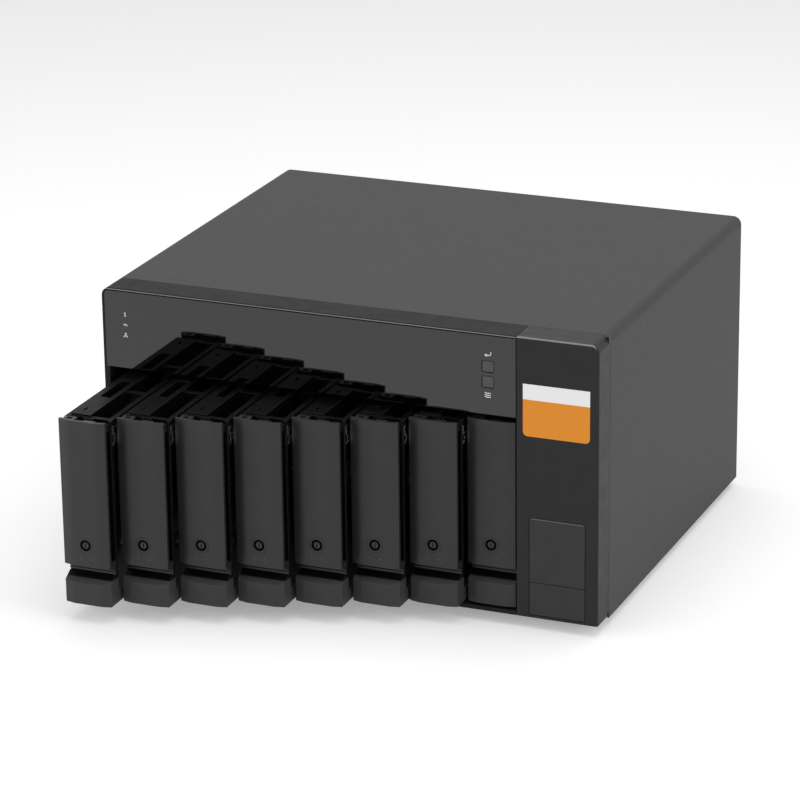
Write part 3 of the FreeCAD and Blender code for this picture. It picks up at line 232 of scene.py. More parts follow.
# ---- Materials ----
class Finish:
    """A material whose nodes are added one by one."""

    def __init__(self, name, roughness, metallic=0.0):
        self.material = bpy.data.materials.new(name)
        self.material.use_nodes = True
        self.nodes = self.material.node_tree.nodes
        self.links = self.material.node_tree.links
        self.shader = self.nodes["Principled BSDF"]
        self.set("Roughness", roughness)
        self.set("Metallic", metallic)
        self.place = self.add("TexCoord").outputs["Object"]

    def add(self, kind, **settings):
        """A new shader node."""
        node = self.nodes.new("ShaderNode" + kind)
        for key, value in settings.items():
            setattr(node, key, value)
        return node

    def set(self, socket, value):
        """Give the shader a constant value."""
        self.shader.inputs[socket].default_value = value

    def link(self, output, target, socket):
        """Lead an output to a socket of another node."""
        self.links.new(output, target.inputs[socket])

    def noise(self, size, detail=2.0):
        """Soft random pattern whose features are about the given size."""
        noise = self.add("TexNoise")
        noise.inputs["Scale"].default_value = 1 / size
        noise.inputs["Detail"].default_value = detail
        self.link(self.place, noise, "Vector")
        return noise.outputs["Fac"]

    def between(self, value, low, high, start=0.3, end=0.7):
        """Spread a 0 to 1 pattern between two numbers."""
        spread = self.add("MapRange")
        spread.inputs["From Min"].default_value = start
        spread.inputs["From Max"].default_value = end
        spread.inputs["To Min"].default_value = low
        spread.inputs["To Max"].default_value = high
        self.link(value, spread, "Value")
        return spread.outputs["Result"]

    def blend(self, factor, first, second):
        """Mix two colours, each a plain colour or the output of another node."""
        mix = self.add("Mix", data_type="RGBA")
        self.link(factor, mix, "Factor")
        for socket, colour in zip(MIX_COLOURS, (first, second)):
            if isinstance(colour, bpy.types.NodeSocket):
                self.links.new(colour, mix.inputs[socket])
            else:
                mix.inputs[socket].default_value = (*colour, 1)
        return mix.outputs[MIX_RESULT]

    def tint(self, colour, size, amount):
        """The colour, a little lighter and darker in soft patches."""
        low = [channel * (1 - amount) for channel in colour]
        high = [channel * (1 + amount) for channel in colour]
        return self.blend(self.between(self.noise(size), 0, 1), low, high)

    def edge_mask(self, radius):
        """1 at the edges of the piece, 0 on its faces."""
        rounded = self.add("Bevel", samples=4)
        rounded.inputs["Radius"].default_value = radius
        plain = self.add("NewGeometry")
        product = self.add("VectorMath", operation="DOT_PRODUCT")
        self.link(rounded.outputs["Normal"], product, 0)
        self.link(plain.outputs["Normal"], product, 1)
        return self.between(product.outputs["Value"], 1, 0, 0.82, 0.995)

    def grain(self, size, depth, detail=2.0):
        """Fine relief of a moulded or coated surface."""
        bump = self.add("Bump")
        bump.inputs["Distance"].default_value = depth
        self.link(self.noise(size, detail), bump, "Height")
        self.link(bump.outputs["Normal"], self.shader, "Normal")

    def vary_roughness(self, middle, spread, patch=9 * MM, detail=3):
        """Shinier and duller patches about a middle roughness."""
        patches = self.noise(patch, detail)
        self.link(self.between(patches, middle - spread, middle + spread), self.shader, "Roughness")

    def times(self, first, second):
        """Product of a pattern and another pattern or a number."""
        product = self.add("Math", operation="MULTIPLY")
        self.link(first, product, 0)
        if isinstance(second, bpy.types.NodeSocket):
            self.link(second, product, 1)
        else:
            product.inputs[1].default_value = second
        return product.outputs[0]

    def beyond(self, axis, start, end):
        """0 before the start along an axis of the shelf, 1 after the end."""
        axes = self.add("SeparateXYZ")
        self.link(self.place, axes, "Vector")
        return self.between(axes.outputs[axis], 0, 1, start, end)

    def facing(self, direction, start, end):
        """0 where the surface looks away from a direction, 1 where it looks along it."""
        surface = self.add("NewGeometry")
        product = self.add("VectorMath", operation="DOT_PRODUCT")
        self.link(surface.outputs["Normal"], product, 0)
        product.inputs[1].default_value = direction
        return self.between(product.outputs["Value"], 0, 1, start, end)

    def colour(self, output):
        """Take an output as the finish's colour, which completes the material."""
        self.link(output, self.shader, "Base Color")
        return self.material


def pale_edge(colour):
    """The paler tone that a colour takes along its edges, partly as wear and partly as a painted
    highlight.
    """
    return [min(1, channel * 1.9 + 0.006) for channel in colour]


def moulded(name, colour, roughness, grain_size, grain_depth, wear_and_highlight=0.35, gloss=0.5):
    """Moulded plastic: fine spark-eroded grain, soft mottling and slightly paler edges, partly wear
    and partly a painted highlight.
    """
    finish = Finish(name, roughness)
    finish.set("Specular IOR Level", gloss)
    finish.grain(grain_size, grain_depth)
    finish.vary_roughness(roughness, 0.04)
    body = finish.tint(colour, 14 * MM, 0.06)
    # Paler edges: partly wear, partly a painted highlight where edges would catch light.
    edge_wear_and_highlight = finish.times(finish.edge_mask(0.35 * MM), wear_and_highlight)
    return finish.colour(finish.blend(edge_wear_and_highlight, body, pale_edge(colour)))


def satin_front(name, roughness, gloss, refraction):
    """Start of a satin moulded finish whose gloss is held low."""
    finish = Finish(name, roughness)
    finish.set("Specular IOR Level", gloss)
    finish.set("IOR", refraction)
    finish.grain(0.5 * MM, 0.01 * MM)
    finish.vary_roughness(roughness, 0.04)
    return finish


def bezel_plastic(name, colour, painted_highlight_colour):
    """Moulded front frame, with a painted highlight line along the rim over the dark panel."""
    finish = satin_front(name, 0.5, 0.2, 1.25)
    body = finish.tint(colour, 14 * MM, 0.06)
    low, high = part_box("bezel_frame")
    start = high.z - RIM_BAND[0]
    end = high.z - RIM_BAND[1]
    above = finish.beyond("Z", start, start + RIM_BLUR[0])
    below = finish.beyond("Z", end, end - RIM_BLUR[1])
    front = finish.beyond("Y", low.y + RIM_FRONT[0], low.y + RIM_FRONT[1])
    # Painted highlight: a pale line painted along the bezel's front just below its top.
    painted_highlight = finish.times(finish.times(above, below), front)
    return finish.colour(finish.blend(painted_highlight, body, painted_highlight_colour))


def edge_lit(name, colour, painted_highlight_colour, gloss, span, amount=1.0):
    """Satin moulded plastic with a painted highlight along its upper front edge, over the last of
    its height.
    """
    finish = satin_front(name, 0.42, gloss, 1.3)
    body = finish.tint(colour, 14 * MM, 0.06)
    # Painted highlight: bevels that face up and forward near the top are painted pale.
    upper = finish.beyond("Z", span[0], span[1])
    edge = finish.facing((0, -DIAGONAL, DIAGONAL), 0.8, 0.92)
    painted_edge_highlight = finish.times(finish.times(edge, upper), amount)
    return finish.colour(finish.blend(painted_edge_highlight, body, painted_highlight_colour))


def carrier_plastic(name, colour, lit_lip_colour):
    """Tray carrier: dull body painted near black as painted shade, a lighter lip at its foot as
    painted light, and paler edges as a painted highlight.
    """
    finish = Finish(name, 0.42)
    finish.set("Specular IOR Level", 0.07)
    finish.grain(0.45 * MM, 0.01 * MM)
    finish.vary_roughness(0.42, 0.04)
    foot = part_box("tray_8_handle")[0].z - LIP_TOP
    # Painted light and shade: the foot below the handle takes the lighter lip colour, the rest of
    # the carrier a near-black tone.
    body = finish.blend(finish.beyond("Z", foot, foot + LIP_BLUR), lit_lip_colour, colour)
    mottled = finish.blend(finish.times(finish.noise(14 * MM), 0.15), body, (0, 0, 0))
    # Paler edges in the lip's tone: a painted highlight along the carrier's edges.
    edge_wear_and_highlight = finish.times(finish.edge_mask(0.35 * MM), 0.6)
    return finish.colour(finish.blend(edge_wear_and_highlight, mottled, pale_edge(lit_lip_colour)))


def powder_coat(name, colour, roughness=0.55):
    """Textured powder coat on sheet metal."""
    finish = Finish(name, roughness)
    finish.set("Specular IOR Level", 0.18)
    finish.grain(0.6 * MM, 0.02 * MM, 4)
    finish.vary_roughness(roughness, 0.02, 5 * MM, 4)
    speck = finish.between(finish.noise(0.6 * MM, 2), 0, 1, 0.35, 0.65)
    darker = [channel * 0.93 for channel in colour]
    lighter = [channel * 1.07 for channel in colour]
    return finish.colour(finish.blend(speck, darker, lighter))


def polished_panel(name, colour):
    """Glossy dark panel with the faintest haze and waviness."""
    finish = Finish(name, 0.03)
    finish.set("Specular IOR Level", 0.7)
    finish.grain(60 * MM, 0.005 * MM, 1)
    finish.vary_roughness(0.03, 0.01, 20 * MM, 4)
    return finish.colour(finish.tint(colour, 30 * MM, 0.05))


def sheet_steel(name, colour, roughness=0.38):
    """Zinc-coated sheet with its crystal pattern and fine rolling lines."""
    finish = Finish(name, roughness, 1.0)
    crystals = finish.add("TexVoronoi")
    crystals.inputs["Scale"].default_value = 1 / (7 * MM)
    finish.link(finish.place, crystals, "Vector")
    stretch = finish.add("Mapping")
    stretch.inputs["Scale"].default_value = (1, 0.03, 1)
    finish.link(finish.place, stretch, "Vector")
    lines = finish.add("TexNoise")
    lines.inputs["Scale"].default_value = 1 / (0.5 * MM)
    finish.link(stretch.outputs["Vector"], lines, "Vector")
    finish.link(finish.between(lines.outputs["Fac"], roughness - 0.08, roughness + 0.08),
                finish.shader, "Roughness")
    shade = finish.add("SeparateColor")
    finish.link(crystals.outputs["Color"], shade, "Color")
    darker = [channel * 0.85 for channel in colour]
    return finish.colour(finish.blend(shade.outputs[0], darker, colour))


def spring_strip(name, colour):
    """Bright rolled spring strip."""
    finish = Finish(name, 0.24, 1.0)
    finish.grain(0.4 * MM, 0.01 * MM)
    finish.vary_roughness(0.25, 0.07, 2 * MM)
    return finish.colour(finish.tint(colour, 3 * MM, 0.08))


def foot_rubber(name, colour):
    """Dull rubber with a dusty bloom."""
    finish = Finish(name, 0.85)
    finish.grain(0.9 * MM, 0.08 * MM, 4)
    bloom = finish.between(finish.noise(3 * MM, 5), 0, 1, 0.45, 0.75)
    dusty = [channel * 1.8 + 0.01 for channel in colour]
    return finish.colour(finish.blend(bloom, colour, dusty))


def circuit_board(name, colour):
    """Solder mask over copper runs, with scattered pads."""
    finish = Finish(name, 0.35)
    runs = finish.add("TexBrick")
    runs.inputs["Scale"].default_value = 1 / (9 * MM)
    runs.inputs["Mortar Size"].default_value = 0.012
    runs.inputs["Color1"].default_value = (*WHITE, 1)
    runs.inputs["Color2"].default_value = (*WHITE, 1)
    runs.inputs["Mortar"].default_value = (0, 0, 0, 1)
    finish.link(finish.place, runs, "Vector")
    pads = finish.add("TexVoronoi")
    pads.inputs["Scale"].default_value = 1 / (4 * MM)
    finish.link(finish.place, pads, "Vector")
    pad_mask = finish.between(pads.outputs["Distance"], 1, 0, 0.12, 0.16)
    lighter = [channel * 1.7 for channel in colour]
    traced = finish.blend(runs.outputs["Fac"], colour, lighter)
    return finish.colour(finish.blend(pad_mask, traced, SOLDER_PAD))


def label_film(name, head, band, split):
    """Printed film with a pale band over a coloured one."""
    finish = Finish(name, 0.32)
    finish.set("Specular IOR Level", 0.4)
    upper = finish.beyond("Z", split - LABEL_BLUR, split + LABEL_BLUR)
    finish.grain(0.5 * MM, 0.008 * MM)
    dotted = finish.between(finish.noise(0.35 * MM, 2), 0, 1)
    thin_ink = [channel * 0.97 for channel in band]
    thick_ink = [min(1, channel * 1.03) for channel in band]
    ink = finish.blend(dotted, thin_ink, thick_ink)
    paper = finish.blend(dotted, [channel * 0.99 for channel in head], head)
    return finish.colour(finish.blend(upper, ink, paper))


def clear_light(name, colour):
    """Frosted light pipe."""
    finish = Finish(name, 0.25)
    finish.set("Transmission Weight", 0.4)
    finish.grain(0.3 * MM, 0.01 * MM)
    return finish.colour(finish.tint(colour, 1 * MM, 0.05))


def make_finishes():
    """Every finish, by the material slot of the part that it belongs to."""
    tone = colours()
    label_low, label_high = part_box("front_label")
    split = label_low.z + (label_high.z - label_low.z) * LABEL_SPLIT
    column_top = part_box("right_column")[1].z
    door_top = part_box("insert_door")[1].z
    column_highlight = [column_top - drop for drop in COLUMN_HIGHLIGHT]
    door_highlight = [door_top - drop for drop in DOOR_HIGHLIGHT]
    fine = 0.4 * MM
    shallow = 0.01 * MM
    rear = [channel * 0.8 for channel in tone.cover]
    supply = [channel * 0.9 for channel in tone.steel]
    return {
        "bezel_plastic": bezel_plastic("bezel_plastic", tone.bezel, tone.painted_highlight),
        "column_plastic": edge_lit("column_plastic", tone.column, tone.painted_highlight, 0.22, column_highlight),
        "insert_plastic": edge_lit("insert_plastic", tone.insert, tone.painted_highlight, 0.35, door_highlight, 0.5),
        "panel_gloss": polished_panel("panel_gloss", tone.panel),
        "cover_paint": powder_coat("cover_paint", tone.cover),
        "label_film": label_film("label_film", tone.label_head, tone.label_band, split),
        "foot_rubber": foot_rubber("foot_rubber", BLACK_PLASTIC),
        # Cage zinc painted near black: painted shade of the shelf's inside.
        "zinc_steel": sheet_steel("zinc_steel", tone.cage, 0.55),
        "rear_paint": powder_coat("rear_paint", rear, 0.5),
        "tray_plastic": carrier_plastic("tray_plastic", tone.tray, tone.lip),
        "handle_plastic": moulded("handle_plastic", tone.handle, 0.42, 0.45 * MM, shallow,
                                  wear_and_highlight=0.4, gloss=0.36),
        "lock_metal": moulded("lock_metal", LOCK_METAL, 0.35, fine, shallow, wear_and_highlight=0.6, gloss=0.4),
        "spring_steel": spring_strip("spring_steel", SPRING_STEEL),
        "guide_plastic": moulded("guide_plastic", GUIDE_PLASTIC, 0.55, 0.6 * MM, 0.02 * MM),
        "board_green": circuit_board("board_green", tone.board),
        "connector_plastic": moulded("connector_plastic", BLACK_PLASTIC, 0.4, fine, shallow),
        "button_plastic": moulded("button_plastic", tone.button, 0.35, fine, 0.008 * MM, wear_and_highlight=0.7),
        "light_pipe": clear_light("light_pipe", FROSTED_LIGHT),
        "display_plastic": polished_panel("display_plastic", BLACK_PLASTIC),
        "fan_plastic": moulded("fan_plastic", BLACK_PLASTIC, 0.4, 0.8 * MM, shallow),
        "supply_steel": sheet_steel("supply_steel", supply, 0.42),
        "screw_steel": spring_strip("screw_steel", SCREW_STEEL),
        "port_steel": sheet_steel("port_steel", tone.steel, 0.3),
    }


def dress(names, finishes):
    """Give nodes the finish of their own material slot."""
    slots = {row["node"]: row["material_slot"] for row in frame["record"]["subparts"]}
    for name in names:
        mesh = NODES[name].data
        mesh.materials.clear()
        mesh.materials.append(finishes[slots[name]])


def shared_finishes():
    """The finishes by slot, made once and then found by the slot that they are marked with."""
    made = {material["shelf_slot"]: material for material in bpy.data.materials
            if "shelf_slot" in material}
    if made:
        return made
    finishes = make_finishes()
    for slot, material in finishes.items():
        material["shelf_slot"] = slot
    return finishes


def soften(name, width, segments=2):
    """Round the sharp edges of a node as a mould or a press leaves them."""
    node = NODES[name]
    seams = node.modifiers.new("seams", "WELD")
    seams.merge_threshold = 0.01 * MM
    bevel = node.modifiers.new("edge radius", "BEVEL")
    bevel.width = width
    bevel.segments = segments
    bevel.limit_method = "ANGLE"
    bevel.angle_limit = math.radians(40)
    bevel.use_clamp_overlap = True
    bevel.harden_normals = True
    even = node.modifiers.new("even shading", "WEIGHTED_NORMAL")
    even.keep_sharp = True


# ---- Small pieces ----
def new_piece(name, mesh, body, material):
    """Link a finished mesh as a piece that rides on a body."""
    piece = bpy.data.objects.new(name, mesh)
    bpy.context.scene.collection.objects.link(piece)
    mesh.materials.clear()
    mesh.materials.append(material)
    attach(piece, body)
    return piece


def mesh_from(shape, name):
    """A mesh from a finished shape, with its faces turned outward."""
    mesh = bpy.data.meshes.new(name)
    bmesh.ops.recalc_face_normals(shape, faces=shape.faces)
    shape.to_mesh(mesh)
    shape.free()
    return mesh


def add_plate(shape, corners, front, back):
    """Add a flat shape in the XZ plane, given its corners, from front to back along Y."""
    near = [shape.verts.new((x, front, z)) for x, z in corners]
    far = [shape.verts.new((x, back, z)) for x, z in corners]
    shape.faces.new(near)
    shape.faces.new(list(reversed(far)))
    for index in range(len(corners)):
        following = (index + 1) % len(corners)
        shape.faces.new((near[following], near[index], far[index], far[following]))


def stroke(start, end, width):
    """Corners of a straight printed line."""
    start = Vector(start)
    end = Vector(end)
    along = (end - start).normalized()
    across = Vector((-along.y, along.x)) * width / 2
    return [start + across, start - across, end - across, end + across]


def disc(x, z, radius, sides=20):
    """Corners of a round shape in the XZ plane."""
    turns = [step * 2 * math.pi / sides for step in range(sides)]
    return [(x + radius * math.cos(turn), z + radius * math.sin(turn)) for turn in turns]


def lathe(name, x, z, front, rings, sides=40):
    """A ring about a line along Y, given its profile as radius and depth in millimetres."""
    shape = bmesh.new()
    loops = []
    for radius, depth in rings:
        loops.append([shape.verts.new((px, front + depth * MM, pz))
                      for px, pz in disc(x, z, radius * MM, sides)])
    for first, second in zip(loops, loops[1:] + loops[:1]):
        for index in range(sides):
            following = (index + 1) % sides
            shape.faces.new((first[index], first[following], second[following], second[index]))
    mesh = mesh_from(shape, name)
    mesh.shade_smooth()
    return mesh


def front_of(name):
    """Where a node's foremost point is along Y."""
    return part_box(name)[0].y


def lock_place(bay):
    """Where the middle of a tray's lock is, seen from the front."""
    low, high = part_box("tray_%d_lock" % bay)
    radius = (high.x - low.x) / 2
    return (low.x + high.x) / 2, high.z - radius


# ---- Operators ----
class SHELF_OT_housing(bpy.types.Operator):
    """Finish the cover, bezel, column and rear panel"""
    bl_idname = "shelf.housing"
    bl_label = "Housing"

    def execute(self, context):
        moulded_nodes = ["bezel_frame", "right_column", "insert_door", "insert_strip"]
        sheet_nodes = ["wrap_cover", "rear_panel", "base_pan"]
        rest = ["rubber_feet", "case_screws", "front_label"]
        dress(moulded_nodes + sheet_nodes + rest, shared_finishes())
        for name in moulded_nodes:
            soften(name, sizes().edge)
        for name in sheet_nodes:
            soften(name, sizes().sheet_edge, 1)
        return {"FINISHED"}


class SHELF_OT_dark_panel(bpy.types.Operator):
    """Finish the dark panel, its buttons, its lights and the pieces behind it"""
    bl_idname = "shelf.dark_panel"
    bl_label = "Dark panel"

    def execute(self, context):
        names = ["glossy_panel", "button_enter", "button_select", "status_lights", "display_module"]
        dress(names + ["front_board"], shared_finishes())
        for name in ("button_enter", "button_select"):
            soften(name, sizes().edge)
        return {"FINISHED"}


class SHELF_OT_inside(bpy.types.Operator):
    """Finish the cage, boards, fans, power supply and ports"""
    bl_idname = "shelf.inside"
    bl_label = "Inside"

    def execute(self, context):
        names = ["drive_cage", "board_shelf", "bay_guides", "backplane_board", "drive_connectors",
                 "fan_frames", "fan_rotor_left", "fan_rotor_right", "power_supply", "power_inlet",
                 "data_ports", "controller_board"]
        dress(names, shared_finishes())
        for name in ("drive_cage", "board_shelf", "power_inlet", "data_ports"):
            soften(name, sizes().sheet_edge, 1)
        return {"FINISHED"}


class SHELF_OT_fan_filters(bpy.types.Operator):
    """Add the dark dust filters on the inner side of both fans"""
    bl_idname = "shelf.fan_filters"
    bl_label = "Fan filters"

    def execute(self, context):
        finish = foot_rubber("filter_foam", FILTER_FOAM)
        housing = front_of("fan_frames")
        for side in ("left", "right"):
            low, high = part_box("fan_rotor_" + side)
            centre = Vector(((low.x + high.x) / 2, (low.z + high.z) / 2))
            radius = (high.z - low.z) / 2 + FILTER_MARGIN
            shape = bmesh.new()
            add_plate(shape, disc(centre.x, centre.y, radius, 48),
                      housing - FILTER_FRONT, housing - FILTER_BACK)
            for turn in (0, math.pi / 2):
                along = Vector((math.cos(turn), math.sin(turn)))
                reach = along * radius * FILTER_BAR_REACH
                add_plate(shape, stroke(centre - reach, centre + reach, FILTER_BAR),
                          housing - FILTER_BAR_FRONT, housing - FILTER_BAR_BACK)
            name = "fan_filter_" + side
            new_piece(name, mesh_from(shape, name), "chassis", finish)
        return {"FINISHED"}


class SHELF_OT_trays(bpy.types.Operator):
    """Finish the eight trays"""
    bl_idname = "shelf.trays"
    bl_label = "Trays"

    def execute(self, context):
        for bay in BAYS:
            names = ["tray_%d_%s" % (bay, part) for part in ("frame", "handle", "lock", "spring")]
            dress(names, shared_finishes())
            soften(names[0], sizes().edge)
            soften(names[1], sizes().edge)
            soften(names[2], sizes().sheet_edge)
        return {"FINISHED"}


class SHELF_OT_tray_lights(bpy.types.Operator):
    """Add the two lights of each tray"""
    bl_idname = "shelf.tray_lights"
    bl_label = "Tray lights"

    def execute(self, context):
        finish = moulded("tray_light", TRAY_LIGHT, 0.3, 0.3 * MM, 0.004 * MM, wear_and_highlight=0)
        reach = sizes().tray_light_reach
        for bay in BAYS:
            handle = "tray_%d_handle" % bay
            lock_x, lock_z = lock_place(bay)
            height = lock_z - sizes().tray_light_drop
            front = front_of(handle)
            shape = bmesh.new()
            for side in (-1, 1):
                spot = disc(lock_x + side * reach, height, sizes().tray_light)
                add_plate(shape, spot, front - sizes().ink, front + LIGHT_SEAT)
            name = "tray_%d_lights" % bay
            new_piece(name, mesh_from(shape, name), handle, finish)
        return {"FINISHED"}


class SHELF_OT_lock_faces(bpy.types.Operator):
    """Add a black ring of painted shade in the groove round each tray lock, and a dark line of
    painted shade at the edge of the dish round it
    """
    bl_idname = "shelf.lock_faces"
    bl_label = "Lock faces"

    def execute(self, context):
        # Painted shade: a black ring in the groove round the lock.
        seal = moulded("lock_seal", LOCK_GROOVE_SHADE, 0.6, 0.3 * MM, 0.004 * MM, wear_and_highlight=0, gloss=0.02)
        # Painted shade: a thin dark ring along the edge of the dish round the lock.
        line = moulded("lock_dish", DISH_EDGE_SHADE, 0.45, 0.3 * MM, 0.004 * MM, wear_and_highlight=0, gloss=0.25)
        outer = sizes().dish / MM
        inner = outer - DISH_EDGE_SHADE_WIDTH
        seated, proud = DISH_DEPTHS
        dish_edge_shade_profile = ((outer, seated), (outer, proud), (inner, proud), (inner, seated))
        rings = (("seal", LOCK_GROOVE_SHADE_PROFILE, seal), ("dish", dish_edge_shade_profile, line))
        for bay in BAYS:
            handle = "tray_%d_handle" % bay
            x, z = lock_place(bay)
            front = front_of(handle)
            for part, profile, finish in rings:
                name = "tray_%d_lock_%s" % (bay, part)
                mesh = lathe(name, x, z, front, profile)
                new_piece(name, mesh, handle, finish)
        return {"FINISHED"}


class SHELF_OT_symbols(bpy.types.Operator):
    """Add the printed symbols beside the buttons and the status lights"""
    bl_idname = "shelf.symbols"
    bl_label = "Symbols"

    def execute(self, context):
        finish = moulded("print_ink", colours().print_ink, 0.5, 0.3 * MM, 0.004 * MM, wear_and_highlight=0)
        for name, draw in (("button_symbols", draw_button_symbols),
                           ("status_symbols", draw_status_symbols)):
            shape = bmesh.new()
            draw(shape)
            new_piece(name, mesh_from(shape, name), "chassis", finish)
        return {"FINISHED"}


def print_plate(shape, corners):
    """Print a flat shape on the dark panel, given its corners."""
    front = front_of("glossy_panel")
    add_plate(shape, corners, front - sizes().ink, front + INK_SEAT)


def draw_button_symbols(shape):
    """Hooked enter arrow over the upper button, and a list under the lower one."""
    width = sizes().symbol
    line = sizes().stroke
    low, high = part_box("button_enter")
    x = (low.x + high.x) / 2

    z = high.z + ARROW_RISE * MM
    left = x - width * ARROW_REACH[0]
    right = x + width * ARROW_REACH[1]
    hook = [(right + across * MM, z + up * MM) for across, up in ARROW_HOOK]
    hook.append((left + ARROW_TAIL[0] * MM, z + ARROW_TAIL[1] * MM))
    for start, end in zip(hook, hook[1:]):
        print_plate(shape, stroke(start, end, line))
    print_plate(shape, [(left + across * MM, z + up * MM) for across, up in ARROW_HEAD])

    middle_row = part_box("button_select")[0].z - LIST_DROP * MM
    left = x - width * LIST_REACH[0]
    right = x + width * LIST_REACH[1]
    for row in (-1, 0, 1):
        z = middle_row + row * LIST_STEP * MM
        print_plate(shape, stroke((left, z), (right, z), line))
        start, end = [(left + across * MM, z + up * MM) for across, up in LIST_TICK]
        print_plate(shape, stroke(start, end, line))


def draw_status_symbols(shape):
    """One small figure over each of the three status lights."""
    low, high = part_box("status_lights")
    x = (low.x + high.x) / 2
    radius = (high.x - low.x) / 2
    heights = (high.z - radius, (low.z + high.z) / 2, low.z + radius)
    bold = sizes().stroke * STATUS_BOLD
    for row, ends in STATUS_LINES:
        start, end = [(x + across * STATUS_SCALE, heights[row] + up * STATUS_SCALE)
                      for across, up in ends]
        print_plate(shape, stroke(start, end, bold))
    rise, size = STATUS_DOT
    print_plate(shape, disc(x, heights[2] + rise * STATUS_SCALE, size * STATUS_SCALE))


class SHELF_OT_stage(bpy.types.Operator):
    """Set up the floor, lamps, sky and camera"""
    bl_idname = "shelf.stage"
    bl_label = "Stage"

    def execute(self, context):
        studio = context.scene.shelf_studio
        context.scene.view_settings.view_transform = "Standard"
        make_floor()
        make_sky(context.scene, studio)
        for name, place, size, level in LAMPS:
            softbox(name, place, size, getattr(studio, level))
        make_camera(context.scene, studio)
        return {"FINISHED"}


def seen_or_mirrored(nodes, links):
    """1 for rays from the camera or through a glossy or clear surface, 0 for diffuse light."""
    path = nodes.new("ShaderNodeLightPath")
    total = path.outputs["Is Camera Ray"]
    for name in ("Is Glossy Ray", "Is Transmission Ray"):
        either = nodes.new("ShaderNodeMath")
        either.operation = "MAXIMUM"
        links.new(total, either.inputs[0])
        links.new(path.outputs[name], either.inputs[1])
        total = either.outputs[0]
    return total


def make_floor():
    """Pale floor that glows a little where it is looked at, and keeps the shelf's shadow."""
    shape = bmesh.new()
    bmesh.ops.create_grid(shape, x_segments=8, y_segments=8, size=FLOOR_REACH)
    floor = bpy.data.objects.new("floor", mesh_from(shape, "floor"))
    bpy.context.scene.collection.objects.link(floor)
    material = bpy.data.materials.new("studio_floor")
    material.use_nodes = True
    nodes = material.node_tree.nodes
    links = material.node_tree.links
    shader = nodes["Principled BSDF"]
    shader.inputs["Base Color"].default_value = (*FLOOR_COLOUR, 1)
    shader.inputs["Roughness"].default_value = 0.9
    shader.inputs["Specular IOR Level"].default_value = 0.1
    shader.inputs["Emission Color"].default_value = (*WHITE, 1)
    glow = nodes.new("ShaderNodeMath")
    glow.operation = "MULTIPLY"
    glow.inputs[1].default_value = FLOOR_GLOW
    links.new(seen_or_mirrored(nodes, links), glow.inputs[0])
    links.new(glow.outputs[0], shader.inputs["Emission Strength"])
    floor.data.materials.append(material)


def make_sky(scene, studio):
    """Even light on the shelf, and plain white where the sky itself is seen."""
    world = bpy.data.worlds.new("sky")
    scene.world = world
    world.use_nodes = True
    nodes = world.node_tree.nodes
    links = world.node_tree.links
    light = nodes["Background"]
    light.inputs["Color"].default_value = (*WHITE, 1)
    light.inputs["Strength"].default_value = studio.sky
    shown = nodes.new("ShaderNodeBackground")
    shown.inputs["Color"].default_value = (*WHITE, 1)
    shown.inputs["Strength"].default_value = 1
    mix = nodes.new("ShaderNodeMixShader")
    links.new(seen_or_mirrored(nodes, links), mix.inputs[0])
    links.new(light.outputs[0], mix.inputs[1])
    links.new(shown.outputs[0], mix.inputs[2])
    links.new(mix.outputs[0], nodes["World Output"].inputs["Surface"])


def softbox(name, place, size, power):
    """Large soft lamp that faces the middle of the shelf."""
    lamp = bpy.data.lights.new(name, "AREA")
    lamp.shape = "RECTANGLE"
    lamp.size = size[0]
    lamp.size_y = size[1]
    lamp.energy = power
    holder = bpy.data.objects.new(name, lamp)
    holder.location = place
    aim = Vector(LAMP_TARGET) - Vector(place)
    holder.rotation_euler = aim.to_track_quat("-Z", "Y").to_euler()
    bpy.context.scene.collection.objects.link(holder)


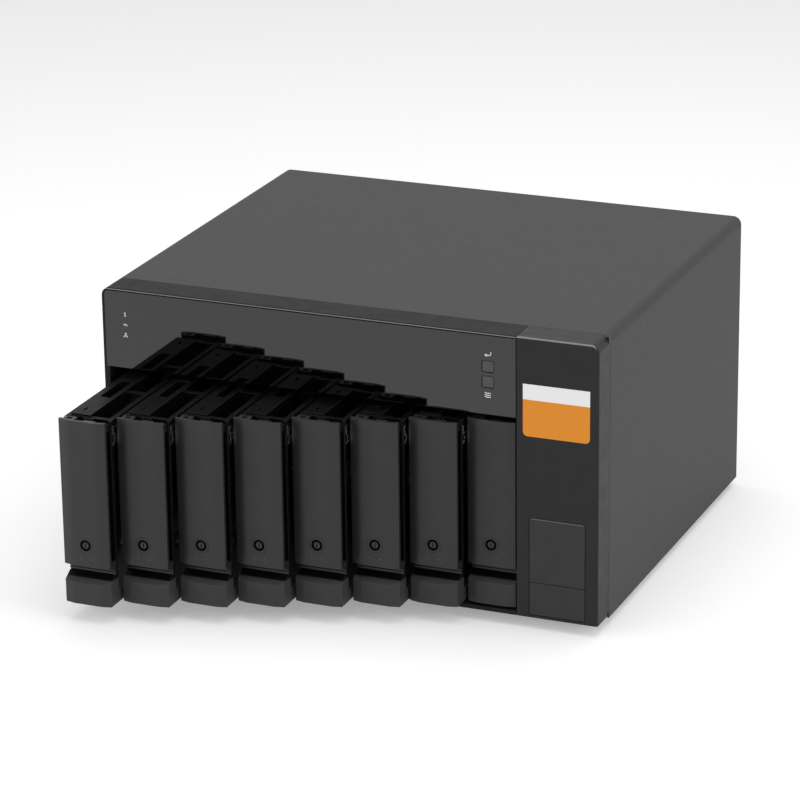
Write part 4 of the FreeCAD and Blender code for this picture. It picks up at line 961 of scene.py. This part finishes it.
def make_camera(scene, studio):
    """Camera from its place and its three angles."""
    lens = bpy.data.cameras.new("camera")
    lens.lens = studio.lens
    lens.sensor_width = SENSOR_WIDTH
    lens.clip_end = VIEW_DEPTH
    camera = bpy.data.objects.new("camera", lens)
    scene.collection.objects.link(camera)
    flat = math.cos(studio.elevation)
    back = Vector((math.sin(studio.azimuth) * flat, -math.cos(studio.azimuth) * flat,
                   math.sin(studio.elevation)))
    right = Vector((math.cos(studio.azimuth), math.sin(studio.azimuth), 0))
    up = back.cross(right)
    tilted_right = right * math.cos(studio.roll) + up * math.sin(studio.roll)
    tilted_up = up * math.cos(studio.roll) - right * math.sin(studio.roll)
    matrix = Matrix((tilted_right, tilted_up, back)).transposed().to_4x4()
    matrix.translation = Vector(studio.position)
    camera.matrix_world = matrix
    scene.camera = camera


# ---- Panel and registration ----
class SHELF_PT_pieces(bpy.types.Panel):
    """Lists the steps that dress the shelf"""
    bl_idname = "SHELF_PT_pieces"
    bl_label = "Disk Shelf"
    bl_space_type = "VIEW_3D"
    bl_region_type = "UI"
    bl_category = "Disk Shelf"

    def draw(self, context):
        for operator in OPERATORS:
            self.layout.operator(operator.bl_idname)
        for group_name in GROUPS:
            group = getattr(context.scene, group_name)
            box = self.layout.box()
            for name in group.__annotations__:
                box.prop(group, name)


GROUPS = {"shelf_colours": ShelfColours, "shelf_sizes": ShelfSizes, "shelf_studio": ShelfStudio}
OPERATORS = (SHELF_OT_housing, SHELF_OT_dark_panel, SHELF_OT_inside, SHELF_OT_fan_filters,
             SHELF_OT_trays, SHELF_OT_tray_lights, SHELF_OT_lock_faces, SHELF_OT_symbols,
             SHELF_OT_stage)


def register():
    """Add the settings, the steps and the sidebar panel."""
    for name, group in GROUPS.items():
        bpy.utils.register_class(group)
        setattr(bpy.types.Scene, name, bpy.props.PointerProperty(type=group))
    for operator in OPERATORS:
        bpy.utils.register_class(operator)
    bpy.utils.register_class(SHELF_PT_pieces)


def unregister():
    """Take everything that register added away again."""
    bpy.utils.unregister_class(SHELF_PT_pieces)
    for operator in reversed(OPERATORS):
        bpy.utils.unregister_class(operator)
    for name, group in reversed(GROUPS.items()):
        delattr(bpy.types.Scene, name)
        bpy.utils.unregister_class(group)


def main():
    """Dress the shelf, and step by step."""
    register()
    for operator in OPERATORS:
        section, action = operator.bl_idname.split(".")
        getattr(getattr(bpy.ops, section), action)()


if __name__ == "__main__":
    main()
